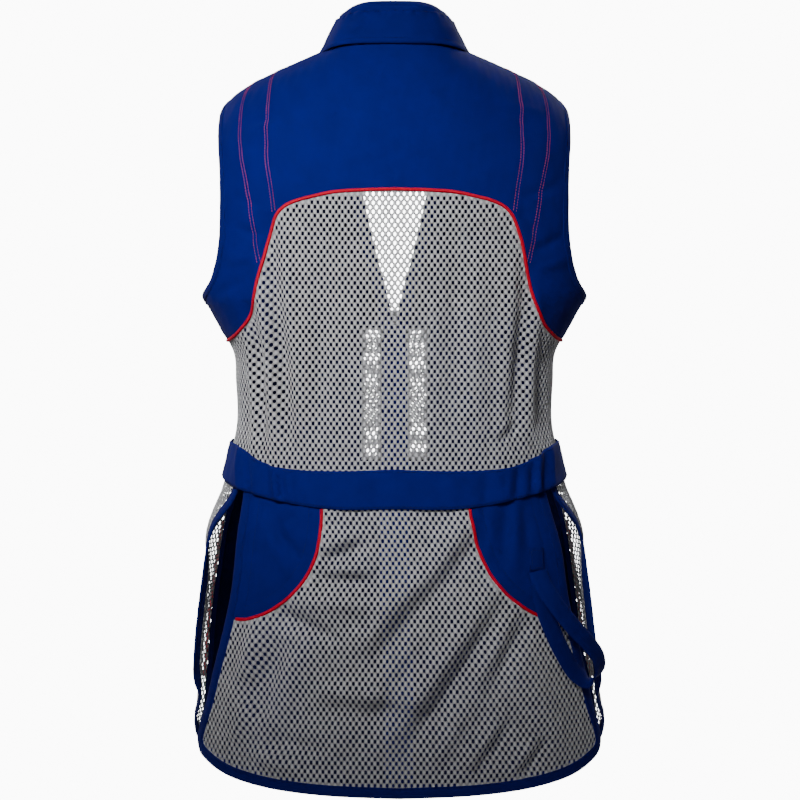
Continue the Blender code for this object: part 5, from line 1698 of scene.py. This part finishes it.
def make_tail_facing(word, side):
    edge, seam, top = tail_lines()
    end = int(np.argmin(np.abs(edge[:, 1] - seam[-1, 1])))
    start = (seam[0, 0], down_on(top, seam[0, 0]))
    top_outer = np.concatenate([[start], cut_line(top, low=seam[0, 0] + EDGE_STEP), edge[:1]])
    upper = np.concatenate([[start], seam[seam[:, 1] > start[1] + EDGE_STEP], edge[end:end + 1]])
    edges = [(top_outer, PLAIN), (edge[:end + 1], TAIL_BINDING_WIDTH - UNDER), (upper[::-1], PIPED)]
    curve = moved_aside(seam, -FACING_STITCH)
    stop = edge_across(edge, curve[:, 1]) - FACING_STITCH_END
    curve = curve[(curve[:, 1] > start[1] + EDGE_STEP) & (curve[:, 0] < stop)]
    upright = moved_aside(edge[2:end - 1], TAIL_BINDING_WIDTH + EDGE_STITCH)
    upright = upright[upright[:, 1] < curve[-1, 1] + EDGE_STEP]
    lines = [on_the_side(curve, side), on_the_side(upright, side)]
    facing, outline = panel("tail_facing_" + word, on_side(edges, side), "blue_cloth", lines=lines)
    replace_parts(facing, "tail_facing_" + word)
    height = cloth_sizes().thick - GROOVE
    sewn = stitch_rows("facing_stitches_" + word, lines, "blue_thread", height)
    fine = cut_line(smooth_path(FACING_SEAM, CORD_STEP), high=FACING_OUTER)
    low = down_on(belt_line(BELT_BOTTOM), fine[0, 0]) + PIPING_BELOW_BELT
    cord = piping("facing_piping_" + word, on_the_side(fine[fine[:, 1] > low], side))
    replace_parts(cord, "facing_piping_" + word)


def edge_across(edge, downs):
    return np.interp(downs, edge[:, 1], edge[:, 0])


def make_armhole_binding(word, side):
    path = on_the_side(armhole_path(), side)
    width = side * ARMHOLE_BINDING_WIDTH
    bound = band("armhole_binding_" + word, path, width, "blue_tape", closed=True)
    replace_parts(bound, "armhole_binding_" + word)
    inner = moved_aside(path, side * (ARMHOLE_BINDING_WIDTH - BINDING_STITCH))
    stitch_rows("armhole_stitches_" + word, [inner], "blue_thread", BINDING_TOP, closed=True)


# Hanging loop

def make_hanging_loop():
    across, down, width, height = STRAP_TAB
    half = np.array([width, height]) / 2
    corners = np.array([(-1, -1), (1, -1), (1, 1), (-1, 1)]) * half + (across, down)
    edges = [(line, 0.0) for line in ring_lines(corners, TAB_EDGE_STEP)]
    tab, tab_outline = panel(
        "strap_tab", edges, "blue_tape", TAB_LIFT, STRAP_THICK, drop=TAB_DROP, step=STRIP_STEP
    )
    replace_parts(tab, "strap_tab")
    inside_box = (corners - (across, down)) * TAB_STITCH_SHARE + (across, down)
    box_rows = ring_lines(inside_box, CORD_STEP)
    sewn = stitch_rows("strap_tab_stitches", box_rows, "blue_thread", TAB_LIFT + STRAP_THICK)
    route = smooth_path(STRAP_ROUTE, STRAP_STEP)
    centres = on_body(route[:, :2], route[:, 2])
    ways = np.gradient(centres, axis=0)
    ways = unit_rows(ways)
    leg = centres[len(centres) // 3] - centres[0]
    sides = np.cross(body_normals(route), leg / np.linalg.norm(leg))
    sides = sides - ways * np.sum(sides * ways, axis=1, keepdims=True)
    sides = unit_rows(sides)
    outs = np.cross(ways, sides)
    profile = flat_profile(STRAP_WIDTH, STRAP_THICK)
    strap = sweep("hanging_loop", centres, sides, outs, profile, "blue_tape", SHARP_EDGE)
    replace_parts(strap, "hanging_loop")


# Collar

def collar_part(name, form, rows):
    """One layer of the collar, round the back from one front end to the other."""
    shares = np.linspace(-COLLAR_FRONT_SHARE, COLLAR_FRONT_SHARE, COLLAR_STEPS + 1)
    downs = np.linspace(0.0, form.length, rows + 1)
    grid_share, grid_down = np.meshgrid(shares, downs)
    share = grid_share.ravel()
    down = grid_down.ravel()
    base = form.point(share, down)
    normal = form.normal(share, down)
    width = len(shares)
    faces = grid_faces(rows, width, False)
    sign = np.where(np.sum(normal * (base * (1, 1, 0)), axis=1) < 0, -1.0, 1.0)[:, None]
    weave = np.column_stack([share * 0.25, down])
    ripple = pucker(weave, COLLAR_RIPPLE, COLLAR_PITCH, rows) * np.sin(np.pi * down / form.length)
    edge = np.minimum(down, form.length - down)
    thick = cloth_sizes().thick * (1.0 - 0.4 * np.exp(-edge / EDGE_SOFT))
    if form is FALL:
        thick = thick + collar_detail(weave)
    ripple = ripple[:, None]
    thick = thick[:, None]
    outer = base + normal * sign * (thick + ripple)
    points, solid = skin(base, faces, outer, base + normal * sign * ripple)
    piece = new_piece(name, points, solid, "blue_cloth", np.concatenate([weave, weave]), 50)
    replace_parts(piece, name)
    return piece, outer.reshape(rows + 1, width, 3)


def collar_detail(places):
    """The seam below the roll line with its puckers, and the thicker turned lower edge."""
    down = places[:, 1]
    seam = -COLLAR_SEAM_DEEP * np.exp(-((down - COLLAR_SEAM) / COLLAR_SEAM_HALF) ** 2)
    turn = 2 * np.pi * places[:, 0] / COLLAR_PUCKER_PITCH
    drawn = np.sin(turn + 2.0 * np.sin(places[:, 0] * 90.0))
    below = np.exp(-((down - COLLAR_SEAM - COLLAR_PUCKER_REACH) / COLLAR_PUCKER_REACH) ** 2)
    lip = COLLAR_LIP * np.exp(-((FALL.length - COLLAR_LIP_HALF - down) / COLLAR_LIP_HALF) ** 2)
    return seam + COLLAR_PUCKER * drawn * below + lip


def make_collar():
    stand, stand_rows = collar_part("collar_stand", STAND, 10)
    fall, _ = collar_part("collar_fall", FALL, 46)
    shares = np.linspace(-COLLAR_FRONT_SHARE, COLLAR_FRONT_SHARE, COLLAR_STEPS + 1)
    roll_line = (stand_rows[-1] + FALL.point(shares, np.zeros(len(shares)))) / 2
    outs = FALL.normal(shares, np.full(len(shares), 0.002))
    _, sides, outs = frames_along(roll_line, outs)
    profile = round_profile(ROLL_RADIUS, 10, 0.8)
    roll = sweep("collar_roll", roll_line, sides, outs, profile, "blue_cloth")
    reach = np.linspace(-COLLAR_FRONT_SHARE + 0.02, COLLAR_FRONT_SHARE - 0.02, 160)
    low = np.column_stack([reach, np.full(len(reach), FALL.length - 0.0055)])
    high = np.column_stack([reach, np.full(len(reach), COLLAR_SEAM + 0.0022)])
    thick = cloth_sizes().thick
    sewn = stitch_rows("collar_stitches", [low, high], "blue_thread", thick, fall_spot)
    upper = STAND.point(shares, np.zeros(len(shares)))
    lower = BODY.point(shares, np.zeros(len(shares)))
    middle = (upper + lower) / 2
    _, sides, outs = frames_along(middle, STAND.normal(shares, np.full(len(shares), 0.001)))
    join = sweep("neck_seam", middle, sides, outs, round_profile(NECK_SEAM, 8), "blue_cloth")


# Pieces of the front

def inset_corners():
    """Corners of a mesh inset, as distances from the centre front."""
    outer = FRONT_EDGE
    inner = FRONT_EDGE + INSET_WIDTH
    return [(outer, INSET_TOP), (inner, INSET_TOP), (inner, INSET_BOTTOM), (outer, INSET_BOTTOM)]


def make_front(word, side):
    _, front = armhole_parts()
    side_line = side_seam(front[-1], SKIRT_TOP)
    seam, waist = skirt_lines()
    edge = opening_line(FRONT_EDGE)
    corners = from_front(inset_corners())
    notch = np.array(from_front(straight(*inset_corners()[1:3])))
    upper = np.concatenate([edge[edge[:, 1] < INSET_TOP - EDGE_STEP], corners[:1]])
    lower = np.concatenate([corners[3:], edge[edge[:, 1] > INSET_BOTTOM + EDGE_STEP]])
    edges = [
        (shoulder_seam(front[0]), PLAIN),
        (front, ARMHOLE_BINDING_WIDTH - UNDER),
        (side_line, PLAIN),
        (waist, PLAIN),
        (seam, PLAIN),
        (skirt_edge(edge[-1])[1], SKIRT_BINDING_WIDTH - UNDER),
        (lower[::-1], PLAIN),
        (np.array([corners[3], corners[2]]), PLAIN),
        (notch[::-1], PLAIN),
        (np.array([corners[1], corners[0]]), PLAIN),
        (upper[::-1], PLAIN),
        (straight(edge[0], shoulder_seam(front[0])[0]), SEAM_GAP),
    ]
    edges = on_side(edges, side)
    # The inner faces take a darker reverse finish: painted shade of the vest's inside, seen through the
    # mesh.
    front_piece, outline = panel(
        "front_" + word, edges, "blue_cloth", step=FRONT_STEP, reverse="blue_reverse"
    )
    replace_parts(front_piece, "front_" + word)
    beside = on_the_side(opening_line(FRONT_EDGE + FRONT_STITCH), side)
    rows = []
    spans = ((STITCH_END, INSET_TOP - STITCH_STOP), (INSET_BOTTOM + STITCH_STOP, SKIRT_HEM - STITCH_END))
    for start, end in spans:
        rows.append(beside[(beside[:, 1] > start) & (beside[:, 1] < end)])
    rows.append(on_the_side(moved_aside(seam, FRONT_STITCH)[:-3], side))
    sewn = stitch_rows("front_stitches_" + word, rows, "blue_thread", cloth_sizes().thick)
    top = (FRONT_PIPING, INSET_TOP)
    path = np.array(from_front(straight(top, (FRONT_PIPING, FRONT_PIPING_BOTTOM), CORD_STEP)))
    lift = cloth_sizes().thick + trim_sizes().piping * PIPING_SHOWN
    cord = piping("front_piping_" + word, on_the_side(path, side), lift)
    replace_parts(cord, "front_piping_" + word)
    fly = make_front_strip("fly_" + word, side, FLY_EDGE, FLY_WIDTH, FLY_OUT, FLY_THICK)
    row = on_the_side(opening_line(FLY_EDGE + FLY_STITCH), side)
    fly_sewn = stitch_rows("fly_stitches_" + word, [row], "blue_thread", FLY_OUT + FLY_THICK)
    tape = make_front_strip("zip_tape_" + word, side, TAPE_EDGE, TAPE_WIDTH, TAPE_OUT, TAPE_CLOTH)
    allowances = [
        seam_tape("shoulder_tape_" + word, on_the_side(shoulder_seam(front[0]), side)),
        seam_tape("side_tape_" + word, on_the_side(side_line, side)),
        seam_tape("skirt_tape_" + word, on_the_side(seam, side)),
    ]
    if side > 0:
        allowances.append(make_zip_core())


def strip(name, edges, out, thick):
    """A narrow strip of tape."""
    piece, _ = panel(name, edges, "blue_tape", out, thick, drop=STRIP_DROP, step=STRIP_STEP)
    return piece


def seam_tape(name, path):
    """The turned-in edges of a seam, bound by a tape on the inside."""
    edges = strip_edges(moved_aside(path, SEAM_TAPE_HALF), moved_aside(path, -SEAM_TAPE_HALF))
    return strip(name, edges, SEAM_TAPE_OUT, SEAM_TAPE_THICK)


def make_zip_core():
    """The two tape edges that meet behind the closed teeth."""
    rows = from_front(straight((CHAIN_HALF, CHAIN_FROM), (CHAIN_HALF, SKIRT_HEM - 0.001)))
    left = on_body(np.array(rows), CORE_OUT)
    right = on_body(mirrored(rows), CORE_OUT)
    centres = (left + right) / 2
    outs = body_normals(np.array(rows)) * (0.0, 1.0, 1.0)
    _, sides, outs = frames_along(centres, unit_rows(outs))
    profile = flat_profile(CORE_WIDTH, CORE_THICK)
    return sweep("zip_core", centres, sides, outs, profile, "blue_tape", SHARP_EDGE)


def make_front_mesh(word, side):
    edges = [(np.array(from_front(line)), -INSET_UNDER) for line in ring_lines(inset_corners())]
    mesh, outline = mesh_panel("front_mesh_" + word, on_side(edges, side), lambda places: -INSET_DEEP)
    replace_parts(mesh, "front_mesh_" + word)


def make_front_strip(name, side, away, width, out, thick):
    """A strip that runs down beside the opening from the neck to the hem."""
    edges = strip_edges(opening_line(away), opening_line(away + width))
    piece = strip(name, on_side(edges, side), out, thick)
    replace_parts(piece, name)
    return piece


def make_skirt_mesh(word, side):
    edge = opening_line(FRONT_EDGE)
    stop_across = np.interp(SKIRT_HEM - SKIRT_BINDING_WIDTH, edge[:, 1], edge[:, 0]) - SEAM_GAP
    slit, hem = skirt_edge((stop_across, SKIRT_HEM))
    seam, waist = skirt_lines()
    edges = [
        (straight(slit[0], waist[0]), PLAIN),
        (waist, PLAIN),
        (seam, PLAIN),
        (slit[::-1], SKIRT_BINDING_WIDTH - UNDER),
    ]
    mesh, outline = mesh_panel("skirt_mesh_" + word, on_side(edges, side), skirt_flare)
    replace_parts(mesh, "skirt_mesh_" + word)
    path = on_the_side(np.concatenate([slit, hem[1:]]), side)
    width = -side * SKIRT_BINDING_WIDTH
    bound = band("skirt_binding_" + word, path, width, "blue_tape", relief=skirt_flare)
    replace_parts(bound, "skirt_binding_" + word)
    inner = moved_aside(path, -side * (SKIRT_BINDING_WIDTH - BINDING_STITCH))
    spot = lifted_spot(skirt_flare)
    sewn = stitch_rows("skirt_stitches_" + word, [inner], "blue_thread", BINDING_TOP, spot)


def make_pocket(word, side):
    corners = pocket_corners()
    edges = [(np.array(from_front(line)), 0.0) for line in ring_lines(corners)]
    lift = cloth_sizes().thick + 2 * SEAM_GAP
    relief = pocket_relief(side)
    edges = on_side(edges, side)
    pocket, outline = panel(
        "pocket_" + word, edges, "blue_cloth", lift, relief=relief, drop=POCKET_DROP, step=POCKET_STEP
    )
    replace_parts(pocket, "pocket_" + word)
    mouth_down = POCKET_TOP + MOUTH_STITCH
    mouth = straight((POCKET_INNER + MOUTH_END, mouth_down), (POCKET_OUTER - MOUTH_END, mouth_down))
    closed = np.array(from_front(corners + corners[:1]))
    inner = inset_outline([(closed, POCKET_STITCH)])
    round_row = inner[inner[:, 1] > POCKET_TOP + POCKET_STITCH_TOP]
    rows = [on_the_side(np.array(from_front(mouth)), side), on_the_side(round_row, side)]
    height = lift + cloth_sizes().thick
    sewn = stitch_rows("pocket_stitches_" + word, rows, "blue_thread", height, lifted_spot(relief))
    beside = np.array(from_front([(away + SEAM_CORD_BESIDE, down) for away, down in SKIRT_SEAM]))
    beside = smooth_path(beside, CORD_STEP)
    beside = beside[(beside[:, 1] > POCKET_TOP) & (beside[:, 1] < POCKET_BOTTOM)]
    lift = cloth_sizes().mesh_thick + trim_sizes().piping
    cord = piping("skirt_piping_" + word, on_the_side(beside, side), lift)


# Zip

def make_teeth():
    """The closed chain, and the open rows of teeth up both sides of the neck."""
    trim = trim_sizes()
    points = []
    faces = []
    block = [(x, y, z) for x in (-1, 1) for y in (-1, 1) for z in (-1, 1)]
    block_faces = (
        (0, 1, 3, 2), (4, 6, 7, 5), (0, 4, 5, 1), (2, 3, 7, 6), (0, 2, 6, 4), (1, 5, 7, 3),
    )
    for side in (1, -1):
        line = on_the_side(opening_line(TOOTH_FROM_CENTRE), side)
        line = line[line[:, 1] > TEETH_FROM]
        world = on_body(line, TOOTH_LIFT)
        outs = body_normals(line)
        ways, sides, outs = frames_along(world, outs)
        along = lengths_along(world)
        first = 0.0 if side > 0 else trim.tooth_pitch / 2
        for distance in np.arange(first, along[-1] - TOOTH_HIGH, trim.tooth_pitch):
            centre = np.array([np.interp(distance, along, world[:, k]) for k in range(3)])
            k = min(int(np.searchsorted(along, distance)), len(line) - 1)
            axes = sides[k] * TOOTH_WIDE, outs[k] * TOOTH_DEEP, ways[k] * TOOTH_HIGH
            base = len(points)
            for a, b, c in block:
                taper = 0.8 if b > 0 else 1.0
                corner = centre + axes[0] * a / 2 * taper + axes[1] * b / 2
                points.append(corner + axes[2] * c / 2 * taper)
            faces.extend(tuple(base + n for n in face) for face in block_faces)
    return new_piece("zip_teeth", points, faces, "metal", sharp=TOOTH_SHARP)


def dress_hardware():
    """The slider and the pull tab keep the frame's shape and get worn satin metal."""
    for node in ("zip_slider", "pull_tab"):
        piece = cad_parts.get(node)
        if piece is None:
            raise RuntimeError("the frame has no node " + node)
        piece.material_slots[0].material = finish_of("metal")


# Stage

def add_light(name, place, aim, size, power, spread):
    data = bpy.data.lights.new(name, "AREA")
    data.shape = "DISK"
    data.size = size
    data.energy = power * bpy.context.scene.vest_stage.light
    data.spread = math.radians(spread)
    lamp = bpy.data.objects.new(name, data)
    lamp.location = place
    lamp.rotation_euler = (Vector(aim) - Vector(place)).to_track_quat("-Z", "Y").to_euler()
    bpy.context.scene.collection.objects.link(lamp)
    return lamp


def make_stage():
    stage = bpy.context.scene.vest_stage
    target = Vector((VIEW_ACROSS, 0.0, VIEW_HEIGHT))
    reach = Vector((0.0, math.cos(stage.elevation), math.sin(stage.elevation))) * stage.distance
    data = bpy.data.cameras.new("camera")
    data.sensor_width = 36.0
    data.lens = data.sensor_width * stage.distance / stage.view_width
    camera = bpy.data.objects.new("camera", data)
    camera.location = target + reach
    camera.rotation_euler = (target - camera.location).to_track_quat("-Z", "Y").to_euler()
    bpy.context.scene.collection.objects.link(camera)
    bpy.context.scene.camera = camera
    mesh = bpy.data.meshes.new("floor")
    rim = []
    for k in range(FLOOR_SIDES):
        angle = 2 * math.pi * k / FLOOR_SIDES
        edge = Vector((math.cos(angle), math.sin(angle))) * FLOOR_RADIUS
        rim.append((edge.x, edge.y, -stage.floor_down))
    mesh.from_pydata(rim, [], [tuple(range(FLOOR_SIDES))])
    floor = bpy.data.objects.new("floor", mesh)
    material, tree, shader = new_finish("floor_paint", 0.9)
    cloud = noise_of(tree, node_of(tree, "ShaderNodeTexCoord").outputs["Object"], 1.5)
    paint = mixed_colour(tree, cloud, (0.86,) * 3, (0.90,) * 3)
    tree.links.new(paint, shader.inputs["Base Color"])
    mesh.materials.append(material)
    bpy.context.scene.collection.objects.link(floor)
    make_surround(stage.light)
    for light in LIGHTS:
        add_light(*light)


def make_surround(strength):
    """A plain white studio all round, seen brighter than the soft light that it gives."""
    world = bpy.data.worlds.new("studio")
    world.use_nodes = True
    tree = world.node_tree
    soft = tree.nodes["Background"]
    soft.inputs["Color"].default_value = (1.0, 1.0, 1.0, 1.0)
    soft.inputs["Strength"].default_value = WORLD_LIGHT * strength
    seen = tree.nodes.new("ShaderNodeBackground")
    seen.inputs["Color"].default_value = (1.0, 1.0, 1.0, 1.0)
    seen.inputs["Strength"].default_value = WORLD_SEEN * strength
    ray = tree.nodes.new("ShaderNodeLightPath")
    both = tree.nodes.new("ShaderNodeMixShader")
    tree.links.new(ray.outputs["Is Camera Ray"], both.inputs[0])
    tree.links.new(soft.outputs[0], both.inputs[1])
    tree.links.new(seen.outputs[0], both.inputs[2])
    tree.links.new(both.outputs[0], tree.nodes["World Output"].inputs["Surface"])
    bpy.context.scene.world = world


# Operators, panel and start

class VEST_OT_yoke(Operator):
    """Back yoke with its red stitch lines and the piping below it"""
    bl_idname = "vest.yoke"
    bl_label = "Back yoke"

    def execute(self, context):
        make_yoke()
        return {"FINISHED"}


class VEST_OT_back_mesh(Operator):
    """Mesh panel between the yoke and the waistband"""
    bl_idname = "vest.back_mesh"
    bl_label = "Back mesh"

    def execute(self, context):
        make_back_mesh()
        return {"FINISHED"}


class VEST_OT_waistband(Operator):
    """Gathered waistband"""
    bl_idname = "vest.waistband"
    bl_label = "Waistband"

    def execute(self, context):
        make_waistband()
        return {"FINISHED"}


class VEST_OT_tail(Operator):
    """Mesh tail with its binding, and the two piped facings"""
    bl_idname = "vest.tail"
    bl_label = "Tail"

    def execute(self, context):
        make_tail()
        make_tail_facing("left", 1)
        make_tail_facing("right", -1)
        return {"FINISHED"}


class VEST_OT_armholes(Operator):
    """Armhole bindings"""
    bl_idname = "vest.armholes"
    bl_label = "Armholes"

    def execute(self, context):
        make_armhole_binding("left", 1)
        make_armhole_binding("right", -1)
        return {"FINISHED"}


class VEST_OT_hanging_loop(Operator):
    """Strap loop and the tab that holds it"""
    bl_idname = "vest.hanging_loop"
    bl_label = "Hanging loop"

    def execute(self, context):
        make_hanging_loop()
        return {"FINISHED"}


class VEST_OT_collar(Operator):
    """Collar stand and its turned-down fall"""
    bl_idname = "vest.collar"
    bl_label = "Collar"

    def execute(self, context):
        make_collar()
        return {"FINISHED"}


class VEST_OT_fronts(Operator):
    """Front panels with their zip edges and mesh insets, the mesh skirts and the pockets"""
    bl_idname = "vest.fronts"
    bl_label = "Fronts"

    def execute(self, context):
        for word, side in (("left", 1), ("right", -1)):
            make_front(word, side)
            make_front_mesh(word, side)
            make_skirt_mesh(word, side)
            make_pocket(word, side)
        return {"FINISHED"}


class VEST_OT_zip(Operator):
    """Teeth, slider and pull tab of the zip"""
    bl_idname = "vest.zip"
    bl_label = "Zip"

    def execute(self, context):
        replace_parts(make_teeth(), "zip_chain")
        dress_hardware()
        return {"FINISHED"}


class VEST_OT_stage(Operator):
    """Floor, studio light and camera"""
    bl_idname = "vest.stage"
    bl_label = "Stage"

    def execute(self, context):
        make_stage()
        return {"FINISHED"}


OPERATORS = (
    VEST_OT_stage,
    VEST_OT_armholes,
    VEST_OT_yoke,
    VEST_OT_back_mesh,
    VEST_OT_waistband,
    VEST_OT_tail,
    VEST_OT_hanging_loop,
    VEST_OT_collar,
    VEST_OT_fronts,
    VEST_OT_zip,
)


class VEST_PT_pieces(Panel):
    """Lists the vest's pieces and its sizes"""
    bl_idname = "VEST_PT_pieces"
    bl_label = "Shooting vest"
    bl_space_type = "VIEW_3D"
    bl_region_type = "UI"
    bl_category = "Vest"

    def draw(self, context):
        layout = self.layout
        for operator in OPERATORS:
            layout.operator(operator.bl_idname)
        for name, group in GROUPS:
            box = layout.box()
            for key in group.__annotations__:
                box.prop(getattr(context.scene, name), key)


GROUPS = (
    ("vest_cloth", VestCloth),
    ("vest_trim", VestTrim),
    ("vest_colours", VestColours),
    ("vest_stage", VestStage),
)


def register():
    for _, group in GROUPS:
        bpy.utils.register_class(group)
    for operator in OPERATORS:
        bpy.utils.register_class(operator)
    bpy.utils.register_class(VEST_PT_pieces)
    for name, group in GROUPS:
        setattr(bpy.types.Scene, name, PointerProperty(type=group))


def unregister():
    for name, _ in GROUPS:
        delattr(bpy.types.Scene, name)
    bpy.utils.unregister_class(VEST_PT_pieces)
    for operator in OPERATORS:
        bpy.utils.unregister_class(operator)
    for _, group in GROUPS:
        bpy.utils.unregister_class(group)


def main():
    register()
    for operator in OPERATORS:
        family, piece = operator.bl_idname.split(".")
        getattr(getattr(bpy.ops, family), piece)()


if __name__ == "__main__":
    main()
